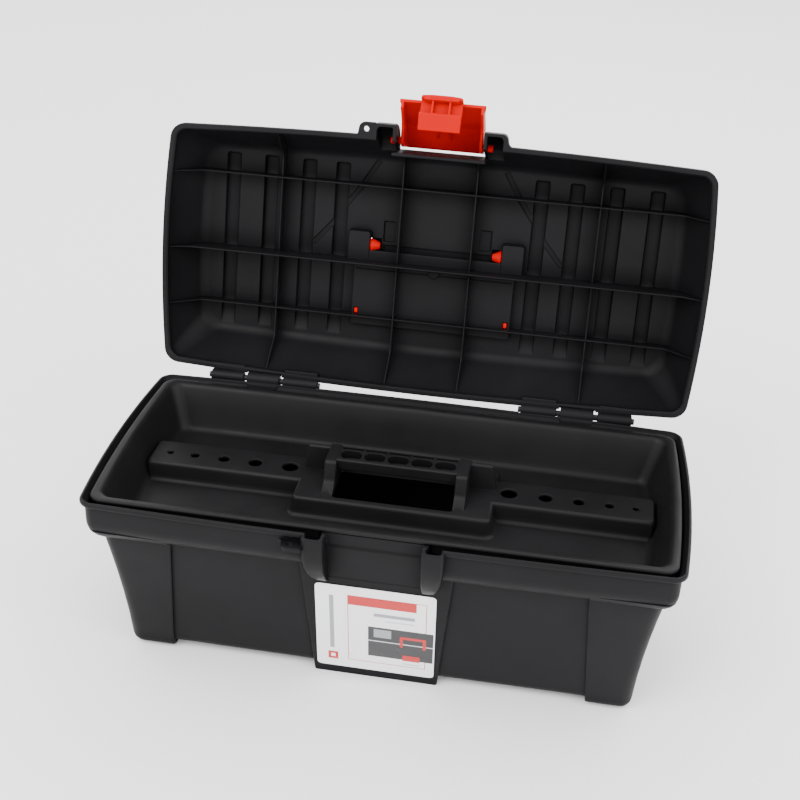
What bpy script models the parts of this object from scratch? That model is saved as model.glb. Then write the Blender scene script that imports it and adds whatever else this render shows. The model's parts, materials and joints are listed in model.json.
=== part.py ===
"""Moulded plastic toolbox with a hinged lid, a lift-out tray, a front latch and a folding handle.

The frame is the tub's: the origin is the centre of the underside, +X runs along the length,
-Y is the front and +Z is up. The box stands open, with the lid resting on its stop.
Every dimension below is in millimetres; MM turns it into Blender's metres.
"""

import math

import bmesh
import bpy
from mathutils import Matrix, Vector

MM = 0.001

# Overall shape
TUB_HEIGHT = 139.0
CLOSED_HEIGHT = 186.0
HALF_LENGTH = 196.4  # of the bead, at the corners; the ends bow out by END_BOW
END_BOW = 4.8
REAR = (92.2, 4.5)  # half depth at the corners and how far the middle bows out
FRONT = (91.4, 3.0)
BEAD_RADIUS = 9.0
WALL = 2.4
CLEAR = 0.3  # between pieces that touch

# Tub
FLOOR_Z = 3.5
FOOT_HALF = (174.7, 56.3)  # the body at its foot
BODY_RADIUS = 5.0
FOOT_FILLET = 8.0
BODY_FLARE = 9.8  # how far the ends spread by BODY_REF_Z
BODY_SLOPE = 0.176  # how far the front and rear lean out for each millimetre up
BODY_REF_Z = 104.0
BAND_BLEND = (  # z and how far the outside has moved from the body to the band
    (104.6, 0.0), (106.2, 0.23), (108.9, 0.48), (112.4, 0.69), (116.4, 0.87), (120.0, 0.975), (123.0, 1.0),
)
LEDGE_Z = 120.5  # inner step, which the tray's skirt stands on
POST_PROUD = 2.6  # the ends stand out from the front and rear panels
PANEL_PROUD = 3.2  # the front panel that carries the label

# Front lock: ears, recess and catch
EAR_X = (31.7, 46.0)
EAR_Y = -99.0
RECESS_Y = -85.6
CATCH_Z = 128.0
LUG = (-53.3, -96.3)  # the padlock eyes' centre
LUG_R = 5.0
EYE_R = 2.0

# Hinge
HINGE_Y, HINGE_Z = 98.9, 139.0
HINGE_SEGMENTS = ((77.5, 104.0), (107.0, 131.6), (134.6, 159.7))
HINGE_R = 4.4
TUB_BARREL_R = 5.3
BORE_R = 2.4
PIN_R = 2.27
PIN_X = (75.5, 161.7)
LID_OPEN_DEG = 103.0

# Lid, in its closed place
LID_Z = 139.3
LID_RIM = (197.6, 92.4, 88.2)  # half length, then half depth at the rear and at the front
LID_RIM_BOW = (4.9, 4.9, 4.4)
LID_TOP = (180.1, 73.7, 73.7)
LID_TOP_BOW = (3.5, 2.0, 2.0)
LID_RADIUS = 9.5
LID_FLOOR_Z = 180.2
LID_TOP_Z = 182.6
CHANNELS_X = (75.4, 101.3, 130.7, 160.3)
CHANNEL_HALF = 5.1
CHANNEL_Y = (-66.0, 67.0)
LONG_RIBS = ((-52.4, 165.0), (5.1, 155.0), (48.1, 167.0))  # y, crest z
CROSS_RIBS = ((119.5, 168.0), (27.6, 166.0))  # |x|, crest z
RIB = 1.6
NOTCH_Y = -81.0

# Carry handle
HANDLE_Y, HANDLE_Z = -6.0, 178.5
HANDLE_HALF = 59.4
GRIP_Y = (40.0, 52.0)
HOUSING_Z = 172.8  # inner face of the handle's housing
CONE_R = (5.4, 2.4)  # the lug at each pivot, which shows through the lid's floor
CONE_X = (50.3, 42.9)

# Latch, with its profile in (y, z) from the pivot when it is fastened
LATCH_Y, LATCH_Z = -88.5, 158.0
LATCH_OPEN_DEG = 30.0
LATCH_HALF = 30.0
HOOK_HALF = 15.0
PLATE = 2.2
STUB_R = 2.7

# Tray
TRAY_TOP = 139.0
TRAY_FLOOR = 106.0
TRAY_WALL = 1.9
TRAY_RIM = (191.3, 85.4)
BLOCK_TOP = 119.5
BLOCK_HALF_X = 70.0
BLOCK_Y = (-26.0, 46.0)
BAR_Y = (-3.5, 29.5)
DRILL_HOLES = ((78.2, 11.5), (103.7, 9.5), (126.7, 7.8), (148.1, 6.2), (166.3, 4.4))  # |x|, diameter
HOLE_Y = 12.5
GRIP_HALF = 42.0
GRIP_Z = (133.2, 139.0)
GRIP_BAR_Y = (-1.5, 18.0)
OPENING_Y = (-18.0, 17.0)

# Label
LABEL_HALF_X = 41.0
LABEL_Z = (8.0, 88.3)
LABEL_THICK = 0.3

SIDES = (-1, 1)


# ---------------------------------------------------------------- scene and objects


def clear_scene():
    for obj in list(bpy.data.objects):
        bpy.data.objects.remove(obj)


def new_collection(name):
    made = bpy.data.collections.new(name)
    bpy.context.scene.collection.children.link(made)
    return made


def material(name, colour, roughness, metallic=0.0):
    made = bpy.data.materials.new(name)
    made.use_nodes = True
    shader = made.node_tree.nodes["Principled BSDF"]
    shader.inputs["Base Color"].default_value = (*colour, 1.0)
    shader.inputs["Roughness"].default_value = roughness
    shader.inputs["Metallic"].default_value = metallic
    return made


def add_object(name, bm, cutter=False):
    """An object from a bmesh in millimetres, among the parts or among the cutters."""
    bmesh.ops.recalc_face_normals(bm, faces=bm.faces)
    bmesh.ops.scale(bm, vec=Vector((MM, MM, MM)), verts=bm.verts)
    mesh = bpy.data.meshes.new(name)
    bm.to_mesh(mesh)
    bm.free()
    obj = bpy.data.objects.new(name, mesh)
    (CUTTERS if cutter else PARTS).objects.link(obj)
    if cutter:
        obj.hide_render = True
        obj.display_type = "WIRE"
    return obj


def add_empty(name, place, turn_deg=0.0, parent=None, parent_place=(0.0, 0.0, 0.0)):
    """An empty on a joint's axis; place is in the closed box, as its parent's place is."""
    empty = bpy.data.objects.new(name, None)
    empty.empty_display_size = 0.02
    PARTS.objects.link(empty)
    empty.parent = parent
    empty.location = (Vector(place) - Vector(parent_place)) * MM
    empty.rotation_euler.x = math.radians(turn_deg)
    return empty


def hang(obj, empty, place):
    """Parents an object that was drawn in the closed box to the empty on its joint's axis."""
    obj.parent = empty
    obj.location = -Vector(place) * MM


def boolean(obj, operation, other):
    step = obj.modifiers.new(other.name, "BOOLEAN")
    step.operation = operation
    step.solver = "EXACT"
    step.object = other


def add(obj, bm, name):
    boolean(obj, "UNION", add_object(f"{obj.name}_{name}", bm, cutter=True))


def cut(obj, bm, name):
    boolean(obj, "DIFFERENCE", add_object(f"{obj.name}_{name}", bm, cutter=True))


def keep_helpers_with(obj):
    """The cutters of a piece that hangs on a joint hang there too."""
    for step in obj.modifiers:
        if step.type == "BOOLEAN":
            step.object.parent = obj.parent
            step.object.location = obj.location


# ---------------------------------------------------------------- shapes


def outline(half_x, half_y, radius, bow_x=0.0, bow_y=0.0, z=0.0, side_steps=6, arc_steps=4, front=None):
    """A rounded rectangle whose sides bow outwards, as points at height z.

    front gives the -Y side a half depth and a bow of its own.
    """
    front_half, front_bow = front or (half_y, bow_y)
    corners = []
    for quarter in range(4):
        centre_x = (half_x - radius) * (1 if quarter in (0, 3) else -1)
        centre_y = half_y - radius if quarter < 2 else radius - front_half
        angles = [math.radians(90 * (quarter + step / arc_steps)) for step in range(arc_steps + 1)]
        corners.append([(centre_x + radius * math.cos(a), centre_y + radius * math.sin(a)) for a in angles])
    points = []
    for corner, after in zip(corners, corners[1:] + corners[:1]):
        here, ahead = corner[-1], after[0]
        points += corner
        for step in range(1, side_steps):
            share = step / side_steps
            points.append(
                (here[0] + (ahead[0] - here[0]) * share, here[1] + (ahead[1] - here[1]) * share)
            )
    bowed = []
    for x, y in points:
        half, bow = (half_y, bow_y) if y > 0 else (front_half, front_bow)
        out_x = bow_x * (1 - (y / half) ** 2) * x / half_x
        out_y = bow * (1 - (x / half_x) ** 2) * y / half
        bowed.append((x + out_x, y + out_y, z))
    return bowed


def loft(rings):
    """A closed body through rings of the same number of points, capped at both ends."""
    bm = bmesh.new()
    rows = [[bm.verts.new(point) for point in ring] for ring in rings]
    count = len(rows[0])
    for low, high in zip(rows, rows[1:]):
        for i in range(count):
            j = (i + 1) % count
            bm.faces.new((low[i], low[j], high[j], high[i]))
    bmesh.ops.triangulate(bm, faces=bm.faces[:])
    bm.faces.new(rows[0])
    bm.faces.new(rows[-1])
    return bm


def block(x, y, z, top_x=None, top_y=None):
    """A box between pairs of limits; top_x and top_y give its top other limits."""
    bm = bmesh.new()
    bmesh.ops.create_cube(bm, size=1.0)
    for vert in bm.verts:
        upper = vert.co.z > 0
        limits_x = top_x if upper and top_x else x
        limits_y = top_y if upper and top_y else y
        vert.co = (limits_x[vert.co.x > 0], limits_y[vert.co.y > 0], z[upper])
    return bm


def cylinder(radius, centre, length, axis="X", steps=16):
    bm = bmesh.new()
    turn = {"X": Matrix.Rotation(math.pi / 2, 4, "Y"), "Z": Matrix.Identity(4)}[axis]
    bmesh.ops.create_cone(
        bm,
        cap_ends=True,
        segments=steps,
        radius1=radius,
        radius2=radius,
        depth=length,
        matrix=Matrix.Translation(centre) @ turn,
    )
    return bm


def prism(points, low, high, axis="X"):
    """A flat outline drawn out along an axis: (y, z) points along X, (x, z) along Y, (x, y) along Z."""
    place = {
        "X": lambda a, b, depth: (depth, a, b),
        "Y": lambda a, b, depth: (a, depth, b),
        "Z": lambda a, b, depth: (a, b, depth),
    }[axis]
    bm = bmesh.new()
    ends = [[bm.verts.new(place(a, b, depth)) for a, b in points] for depth in (low, high)]
    for i in range(len(points)):
        j = (i + 1) % len(points)
        bm.faces.new((ends[0][i], ends[0][j], ends[1][j], ends[1][i]))
    bm.faces.new(ends[0])
    bm.faces.new(ends[1])
    return bm


def pair(limits, side):
    """Limits on |x| as limits on x, on one side of the box."""
    return tuple(sorted(side * value for value in limits))


# ---------------------------------------------------------------- tub


def body_half(z):
    """Half length and half depth of the tub's body at a height, without the posts."""
    return (
        FOOT_HALF[0] + BODY_FLARE * (max(z, 0.0) / BODY_REF_Z) ** 1.8,
        FOOT_HALF[1] + BODY_SLOPE * z,
    )


def body_ring(z, grow=0.0):
    half_x, half_y = body_half(z)
    radius = max(BODY_RADIUS + grow, 1.5)
    return outline(half_x + grow, half_y + grow, radius, END_BOW * 0.5, 0.6, z)


def foot_rings(z, radius, grow=0.0):
    """The rounded edge between the underside at z and the wall."""
    rings = []
    for angle in (90, 60, 30, 0):
        turn = math.radians(angle)
        height = z + radius * (1 - math.sin(turn))
        rings.append(body_ring(height, grow - radius * (1 - math.cos(turn))))
    return rings


def band_ring(grow, z):
    front = (FRONT[0] + grow, FRONT[1])
    radius = max(BEAD_RADIUS + grow, 1.5)
    return outline(HALF_LENGTH + grow, REAR[0] + grow, radius, END_BOW, REAR[1], z, front=front)


def blend_rings(grow, last=len(BAND_BLEND)):
    """The rounded underside of the band, from the body out to the band."""
    rings = []
    for z, share in BAND_BLEND[:last]:
        inner, outer = body_ring(z, grow), band_ring(-3.0, z)
        rings.append([Vector(a).lerp(Vector(b), share) for a, b in zip(inner, outer)])
    return rings


def tub_outside():
    rings = foot_rings(FLOOR_Z, FOOT_FILLET) + [body_ring(z) for z in (30.0, 55.0, 80.0)]
    profile = ((-3.0, 134.6), (-0.2, 135.2), (0.0, 137.9), (-1.0, TUB_HEIGHT))
    return loft(rings + blend_rings(0.0) + [band_ring(grow, z) for grow, z in profile])


def tub_inside():
    rings = foot_rings(FLOOR_Z + WALL, FOOT_FILLET - 2.0, -WALL)
    rings += [body_ring(z, -WALL) for z in (30.0, 55.0, 80.0, BODY_REF_Z, LEDGE_Z)]
    profile = ((-5.4, LEDGE_Z), (-5.2, 133.5), (-2.5, 137.0), (-2.5, 141.0))
    return loft(rings + [band_ring(grow, z) for grow, z in profile])


def tub_post(side):
    """The proud end of the body, cut off along a slanted line."""
    rings = foot_rings(0.0, FOOT_FILLET, POST_PROUD) + [body_ring(z, POST_PROUD) for z in (30.0, 55.0, 80.0)]
    post = add_object(f"base_tub_post{side:+d}", loft(rings + blend_rings(POST_PROUD, 5)), cutter=True)
    inner, outer = (146.5, 137.7), 230.0
    bm = block(
        pair((inner[0], outer), side),
        (-120.0, 120.0),
        (-1.0, 118.5),
        top_x=pair((inner[1], outer), side),
    )
    boolean(post, "INTERSECT", add_object(f"base_tub_end{side:+d}", bm, cutter=True))
    return post


def front_y(z, proud=0.0):
    return -(body_half(z)[1] + proud)


def tub_panel():
    """The proud centre panel, with sides that lean outwards."""
    top = 122.5
    return block(
        (-43.3, 43.3),
        (front_y(0.0, PANEL_PROUD), -40.0),
        (0.0, top),
        top_x=(-53.0, 53.0),
        top_y=(front_y(top, PANEL_PROUD), -70.0),
    )


def rounded_box_ring(x, y, z, radius=2.0):
    centre = ((x[0] + x[1]) / 2, (y[0] + y[1]) / 2)
    ring = outline(
        (x[1] - x[0]) / 2, (y[1] - y[0]) / 2, radius, z=z, side_steps=1, arc_steps=2
    )
    return [(px + centre[0], py + centre[1], pz) for px, py, pz in ring]


def tub_ear(side):
    """A funnel that holds the end of the latch, tapering down into the panel."""
    inner = EAR_X[0]
    rows = (
        (90.0, inner + 0.6, 36.8, -74.2),
        (94.5, inner + 0.2, 39.8, -81.0),
        (101.0, inner, 42.4, -88.0),
        (109.0, inner, 44.6, -93.6),
        (119.0, inner, EAR_X[1], -97.8),
        (128.0, inner, EAR_X[1], EAR_Y),
        (138.0, inner, EAR_X[1], EAR_Y),
    )
    return loft(
        [rounded_box_ring(pair((a, b), side), (y, -60.0 - z * 0.1), z) for z, a, b, y in rows]
    )


def padlock_eye(z, joins_x):
    """A flat tab round the padlock hole, reaching in to the wall and the ear."""
    arc = [math.radians(a) for a in range(180, 271, 15)]
    points = [(LUG[0] + LUG_R * math.cos(a), LUG[1] + LUG_R * math.sin(a)) for a in arc]
    points += [(joins_x, LUG[1] - LUG_R), (joins_x, -88.0), (LUG[0] - LUG_R - 3.0, -88.0)]
    return prism(points, *z, axis="Z")


def make_tub(plastic):
    tub = add_object("base_tub", tub_outside())
    for side in SIDES:
        boolean(tub, "UNION", tub_post(side))
    add(tub, tub_panel(), "label_panel")
    add(tub, block((-60.0, 60.0), (-45.0, 45.0), (0.0, FLOOR_Z + 1.0)), "base_pad")
    for side in SIDES:
        add(tub, tub_ear(side), f"ear{side:+d}")
    cut(tub, tub_inside(), "inside")
    # The wall behind the latch steps back, thick below where it holds the catch.
    add(tub, block((-35.0, 35.0), (-90.5, -79.0), (119.0, 129.5)), "catch_base")
    add(tub, block((-35.0, 35.0), (-90.5, -83.3), (129.0, 136.4)), "catch_wall")
    recess_x = (-EAR_X[0], EAR_X[0])
    cut(tub, block(recess_x, (-110.0, RECESS_Y), (CATCH_Z - 0.5, 150.0)), "recess")
    cut(tub, block(recess_x, (-110.0, -80.8), (122.2, CATCH_Z)), "undercut")
    sill = block(
        recess_x,
        (-110.0, front_y(95.0, PANEL_PROUD - 0.15)),
        (95.0, 122.7),
        top_y=(-110.0, front_y(122.7, PANEL_PROUD - 0.15)),
    )
    cut(tub, sill, "recess_sill")
    for side in SIDES:
        pocket = block(pair((34.0, 43.8), side), (-96.8, -86.0), (122.0, 145.0))
        cut(tub, pocket, f"ear_pocket{side:+d}")
        arch = block(pair((120.0, 230.0), side), (-36.0, 36.0), (-2.0, 3.4))
        cut(tub, arch, f"foot_arch{side:+d}")
    add(tub, padlock_eye((129.0, 131.5), -40.0), "padlock_eye")
    cut(tub, cylinder(EYE_R, (*LUG, 130.0), 10.0, "Z", 24), "padlock_hole")
    for side in SIDES:
        for i in (0, 2):
            low, high = pair(HINGE_SEGMENTS[i], side)
            relief = cylinder(HINGE_R + 0.5, ((low + high) / 2, HINGE_Y, HINGE_Z), high - low + 2.4)
            cut(tub, relief, f"hinge_relief{i}{side:+d}")
        low, high = pair(HINGE_SEGMENTS[1], side)
        middle = (low + high) / 2
        barrel = cylinder(TUB_BARREL_R, (middle, HINGE_Y, HINGE_Z), high - low, steps=20)
        bracket_x = (low + 0.4, high - 0.4)
        bracket = block(bracket_x, (88.9, HINGE_Y), (130.0, 138.9), top_y=(91.8, HINGE_Y))
        add(tub, bracket, f"hinge_arm{side:+d}")
        add(tub, barrel, f"hinge_barrel{side:+d}")
        bore = cylinder(BORE_R, (middle, HINGE_Y, HINGE_Z), high - low + 10.0)
        cut(tub, bore, f"hinge_bore{side:+d}")
    tub.data.materials.append(plastic)
    return tub


# ---------------------------------------------------------------- lid


def lid_measures(z):
    """Half length, half depths and their bows, at a height."""
    share = max(0.0, min(1.0, (z - 146.0) / 36.0))
    shares = (share**1.25, share**1.1, share**1.1)
    half = [low + (high - low) * part for low, high, part in zip(LID_RIM, LID_TOP, shares)]
    bow = [low + (high - low) * part for low, high, part in zip(LID_RIM_BOW, LID_TOP_BOW, shares)]
    return half, bow


def lid_ring(z, grow=0.0):
    half, bow = lid_measures(z)
    front = (half[2] + grow, bow[2])
    radius = LID_RADIUS + grow * 0.6
    return outline(half[0] + grow, half[1] + grow, radius, bow[0], bow[1], z, front=front)


def lid_outside():
    rings = [lid_ring(LID_Z, -0.4), lid_ring(LID_Z + 0.9, 0.0), lid_ring(144.6, 0.0)]
    rings += [lid_ring(z, -0.9) for z in (146.0, 154.0, 162.0, 170.0, 177.0)]
    rings += [lid_ring(181.3, -2.0), lid_ring(LID_TOP_Z, -5.0)]
    return loft(rings)


def lid_inside():
    rings = [lid_ring(LID_Z - 3.0, -4.4), lid_ring(144.6, -4.0)]
    rings += [lid_ring(z, -0.9 - WALL) for z in (146.5, 154.0, 162.0, 170.0)]
    rings += [lid_ring(175.4, -4.3), lid_ring(178.8, -6.6), lid_ring(LID_FLOOR_Z, -10.6)]
    return loft(rings)


def inner_x(z, y):
    """Where the lid's inner end wall stands."""
    half, bow = lid_measures(z)
    return half[0] - 0.9 - WALL + bow[0] * (1 - (y / half[1]) ** 2)


def inner_y(z, x, rear):
    """Where the lid's inner rear or front wall stands, as a distance from the middle."""
    half, bow = lid_measures(z)
    side = 1 if rear else 2
    return half[side] - 0.9 - WALL + bow[side] * (1 - (x / half[0]) ** 2)


def rib_outline(reaches, crest, foot):
    """A rib that follows the lid's inside: down one wall, along the floor and up the other."""
    halves = []
    for reach in reaches:
        heights = [foot + (LID_FLOOR_Z - 3.2 - foot) * step / 4 for step in range(5)]
        into = 1.2
        outer = [(reach(z) + into, z) for z in heights]
        outer.append((reach(LID_FLOOR_Z) - 2.4, LID_FLOOR_Z + into))
        inner = [(reach(crest) - 12.0, crest), (reach(foot + 6.0) - 3.0, foot + 5.0)]
        halves.append(inner + [(outer[0][0] - 1.9, foot)] + outer)
    right, left = halves
    return right + [(-a, b) for a, b in reversed(left)]


def lid_ear(side):
    """A hood over one end of the latch, rounded towards the outside."""
    profile = (
        (-76.0, LID_Z), (-100.7, LID_Z), (-101.2, 147.0), (-99.6, 154.5),
        (-96.0, 161.0), (-90.5, 165.8), (-83.5, 168.8), (-74.0, 170.0),
    )
    rings = []
    for x, scale in ((31.7, 1.0), (44.6, 1.0), (46.8, 0.965), (48.0, 0.88)):
        rings.append(
            [(side * x, -76.0 + (y + 76.0) * scale, LID_Z + (z - LID_Z) * scale) for y, z in profile]
        )
    return loft(rings)


def lid_ear_pocket(side):
    profile = (
        (-79.0, LID_Z - 3.0), (-98.4, LID_Z - 3.0), (-98.8, 147.0), (-97.3, 153.6),
        (-94.2, 159.2), (-89.4, 163.4), (-83.0, 166.2), (-79.0, 166.6),
    )
    return prism(profile, *pair((34.0, 45.7), side))


def diagonal_channel(side):
    """A shallow groove that runs outwards from the front of the lid's floor."""
    spine = ((48.0, -70.0), (60.6, -49.5), (69.0, -38.0), (80.6, -20.5), (95.5, -3.2))
    low = [(side * (x - 2.1), y + 1.5) for x, y in spine]
    high = [(side * (x + 2.1), y - 1.5) for x, y in spine]
    return prism(low + high[::-1], LID_FLOOR_Z - 1.0, LID_FLOOR_Z + 1.2, "Z")


def make_lid(plastic):
    lid = add_object("lid_shell", lid_outside())
    bar_top = (LID_TOP_Z - 1.5, CLOSED_HEIGHT)
    for side in SIDES:
        for i, x in enumerate(CHANNELS_X):
            bar = block(
                pair((x - 8.0, x + 8.0), side),
                (CHANNEL_Y[0] - 3.0, CHANNEL_Y[1] + 3.0),
                bar_top,
                top_x=pair((x - 7.0, x + 7.0), side),
                top_y=(CHANNEL_Y[0] - 1.0, CHANNEL_Y[1] + 1.0),
            )
            add(lid, bar, f"bar{i}{side:+d}")
        add(lid, lid_ear(side), f"ear{side:+d}")
    cut(lid, lid_inside(), "inside")
    for side in SIDES:
        plate = block(pair((32.0, 41.5), side), (-25.5, -9.0), (LID_FLOOR_Z - 1.0, LID_FLOOR_Z + 1.2))
        cut(lid, plate, f"floor_recess{side:+d}")
        cut(lid, diagonal_channel(side), f"diagonal{side:+d}")
    add(lid, block((-34.0, 34.0), (NOTCH_Y, NOTCH_Y + WALL), (LID_Z, 172.0)), "notch_wall")
    # Housing of the handle, seen from inside as a strip with a pod at each pivot.
    add(lid, block((-61.5, 61.5), (-2.8, 56.0), (HOUSING_Z + 1.8, LID_TOP_Z - 0.5)), "housing")
    add(lid, block((-61.6, 61.6), (-2.9, 9.5), (HOUSING_Z, LID_TOP_Z - 0.6)), "housing_strip")
    for side in SIDES:
        low, high = pair((50.2, 67.0), side)
        pod = loft(
            [
                rounded_box_ring((low + 0.8, high - 0.8), (-16.2, 3.8), HOUSING_Z - 1.2, 3.4),
                rounded_box_ring((low, high), (-17.0, 4.0), HOUSING_Z, 4.0),
                rounded_box_ring((low, high), (-17.0, 4.0), LID_TOP_Z - 0.7, 4.0),
            ]
        )
        add(lid, pod, f"pod{side:+d}")
    foot = 145.0
    for i, (y, crest) in enumerate(LONG_RIBS):
        reach = [lambda z, y=y: inner_x(z, y)] * 2
        add(lid, prism(rib_outline(reach, crest, foot), y - RIB / 2, y + RIB / 2, "Y"), f"long_rib{i}")
    for side in SIDES:
        for i, (x, crest) in enumerate(CROSS_RIBS):
            reaches = [lambda z, x=x, rear=rear: inner_y(z, x, rear) for rear in (True, False)]
            rib = prism(rib_outline(reaches, crest, foot), *pair((x - RIB / 2, x + RIB / 2), side))
            add(lid, rib, f"cross_rib{i}{side:+d}")
    for side in SIDES:
        for i, x in enumerate(CHANNELS_X):
            channel = block(
                pair((x - CHANNEL_HALF, x + CHANNEL_HALF), side), CHANNEL_Y, (LID_FLOOR_Z - 0.2, 183.6)
            )
            cut(lid, channel, f"channel{i}{side:+d}")
        cut(lid, lid_ear_pocket(side), f"ear_pocket{side:+d}")
    cut(lid, block((-31.7, 31.7), (-120.0, NOTCH_Y), (LID_Z - 5.0, 200.0)), "latch_notch")
    # The handle's recess, open on top.
    cut(lid, block((-60.0, 60.0), (37.0, 54.0), (177.0, 200.0)), "grip_recess")
    cut(lid, block((-56.5, 56.5), (2.0, 38.0), (177.0, 200.0)), "hand_recess")
    for side in SIDES:
        slot = block(pair((49.9, 56.5), side), (-13.2, 3.0), (173.5, 200.0))
        cut(lid, slot, f"arm_slot{side:+d}")
        opening = cylinder(6.0, (side * 46.55, HANDLE_Y, HANDLE_Z), 8.5, steps=20)
        cut(lid, opening, f"cone_opening{side:+d}")
        nib = block(pair((55.6, 60.0), side), (42.0, 48.0), (170.0, 180.0))
        cut(lid, nib, f"nib_slot{side:+d}")
        bore = cylinder(BORE_R, (side * 58.0, HANDLE_Y, HANDLE_Z), 9.0)
        cut(lid, bore, f"handle_bore{side:+d}")
        stub_bore = cylinder(STUB_R + 0.13, (side * 33.0, LATCH_Y, LATCH_Z), 6.0)
        cut(lid, stub_bore, f"latch_bore{side:+d}")
    add(lid, padlock_eye((LID_Z + 0.1, 142.2), -40.0), "padlock_eye")
    cut(lid, cylinder(EYE_R, (*LUG, 141.0), 10.0, "Z", 24), "padlock_hole")
    for side in SIDES:
        low, high = pair(HINGE_SEGMENTS[1], side)
        relief = cylinder(TUB_BARREL_R + 0.5, ((low + high) / 2, HINGE_Y, HINGE_Z), high - low + 2.4)
        cut(lid, relief, f"hinge_relief{side:+d}")
        for i in (0, 2):
            low, high = pair(HINGE_SEGMENTS[i], side)
            middle = (low + high) / 2
            arm_x = (low + 0.4, high - 0.4)
            arm = block(arm_x, (89.6, HINGE_Y), (LID_Z + 0.3, 146.5), top_y=(90.2, 91.9))
            add(lid, arm, f"hinge_arm{i}{side:+d}")
            add(lid, cylinder(HINGE_R, (middle, HINGE_Y, HINGE_Z), high - low), f"hinge_barrel{i}{side:+d}")
            bore = cylinder(BORE_R, (middle, HINGE_Y, HINGE_Z), high - low + 2.0)
            cut(lid, bore, f"hinge_bore{i}{side:+d}")
    lid.data.materials.append(plastic)
    return lid


# ---------------------------------------------------------------- tray


def tray_shell():
    """Floor, sloping wall, rounded rim and turned-down skirt, as one folded skin."""
    rim_x, rim_y = TRAY_RIM

    def ring(inset, z, inset_y):
        radius = max(9.0 - inset * 0.32, 3.5)
        return outline(rim_x - inset, rim_y - inset_y, radius, 3.4, 0.3, z)

    under = (
        (18.5, TRAY_FLOOR - TRAY_WALL, 19.5), (15.7, TRAY_FLOOR - TRAY_WALL, 16.7),
        (14.6, 108.5, 15.3), (11.0, 119.5, 11.4), (6.4, 135.0, 6.6), (4.5, 135.0, 4.5),
        (4.5, 120.8, 4.5), (2.6, 120.8, 2.6), (2.6, 136.7, 2.6), (0.0, 136.7, 0.0),
    )
    over = (
        (0.0, 138.0, 0.0), (0.9, TRAY_TOP, 0.9), (4.6, TRAY_TOP, 4.6), (7.0, 137.4, 7.0),
        (9.0, 131.0, 9.2), (13.1, 117.5, 13.4), (16.4, 108.2, 17.2), (18.5, TRAY_FLOOR, 19.5),
    )
    return loft([ring(*row) for row in under + over])


def raised(x, y, top, inset=1.2):
    """A solid raised form standing on the tray's floor, with drafted sides."""
    return block(
        x,
        y,
        (TRAY_FLOOR - 1.0, top),
        top_x=(x[0] + inset, x[1] - inset),
        top_y=(y[0] + inset, y[1] - inset),
    )


def hollow(x, y, top, inset=1.2):
    """The space under a raised form, which is as thin as the tray's wall."""
    return block(
        (x[0] + TRAY_WALL, x[1] - TRAY_WALL),
        (y[0] + TRAY_WALL, y[1] - TRAY_WALL),
        (TRAY_FLOOR - 5.0, top - TRAY_WALL),
        top_x=(x[0] + TRAY_WALL + inset, x[1] - TRAY_WALL - inset),
        top_y=(y[0] + TRAY_WALL + inset, y[1] - TRAY_WALL - inset),
    )


def make_tray(plastic):
    tray = add_object("lift_out_tray", tray_shell())
    block_x = (-BLOCK_HALF_X, BLOCK_HALF_X)
    bar_x = (-181.5, 181.5)
    add(tray, raised(bar_x, BAR_Y, BLOCK_TOP), "drill_bar")
    add(tray, raised(block_x, BLOCK_Y, BLOCK_TOP), "centre_block")
    cheek = (
        (OPENING_Y[0], BLOCK_TOP - 1.0), (-9.0, 125.5), (-4.2, GRIP_Z[1] - 2.2),
        (GRIP_BAR_Y[0], GRIP_Z[1] - 0.2), (GRIP_BAR_Y[1], GRIP_Z[1] - 0.2),
        (GRIP_BAR_Y[1] + 2.5, 133.0), (GRIP_BAR_Y[1] + 5.0, BLOCK_TOP - 1.0),
    )
    for side in SIDES:
        add(tray, prism(cheek, *pair((GRIP_HALF - 0.4, GRIP_HALF + 8.0), side)), f"grip_cheek{side:+d}")
    cut(tray, hollow(block_x, BLOCK_Y, BLOCK_TOP), "block_hollow")
    inner_cheek = [(y * 0.86 + 1.1, z - 2.2) for y, z in cheek]
    for side in SIDES:
        limits = pair((GRIP_HALF + 1.8, GRIP_HALF + 6.2), side)
        cut(tray, prism(inner_cheek, *limits), f"cheek_hollow{side:+d}")
    for side in SIDES:
        hollow_x = pair((BLOCK_HALF_X - 6.0, 176.0), side)
        cut(tray, hollow(hollow_x, BAR_Y, BLOCK_TOP), f"bar_hollow{side:+d}")
    opening = block((-GRIP_HALF, GRIP_HALF), OPENING_Y, (TRAY_FLOOR - 10.0, BLOCK_TOP + 5.0))
    cut(tray, opening, "finger_opening")
    add(tray, block((-GRIP_HALF - 1.0, GRIP_HALF + 1.0), GRIP_BAR_Y, GRIP_Z), "grip_bar")
    for side in SIDES:
        for i, (x, diameter) in enumerate(DRILL_HOLES):
            hole = cylinder(diameter / 2, (side * x, HOLE_Y, BLOCK_TOP), 12.0, "Z", 14)
            cut(tray, hole, f"drill_hole{i}{side:+d}")
    for i in range(-2, 3):
        limits = (i * 16.6 - 7.2, i * 16.6 + 7.2)
        pocket = loft([rounded_box_ring(limits, (1.6, 12.0), z, 4.6) for z in (134.6, 145.0)])
        cut(tray, pocket, f"bit_pocket{i:+d}")
        slot = block((i * 16.6 - 7.2, i * 16.6 + 7.2), (14.2, 16.2), (130.0, 145.0))
        cut(tray, slot, f"bit_slot{i:+d}")
    cut(tray, block((-36.5, 36.5), (-84.0, -80.2), (115.0, 136.6)), "catch_clearance")
    tray.data.materials.append(plastic)
    return tray


# ---------------------------------------------------------------- latch, handle, pins, label


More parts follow.
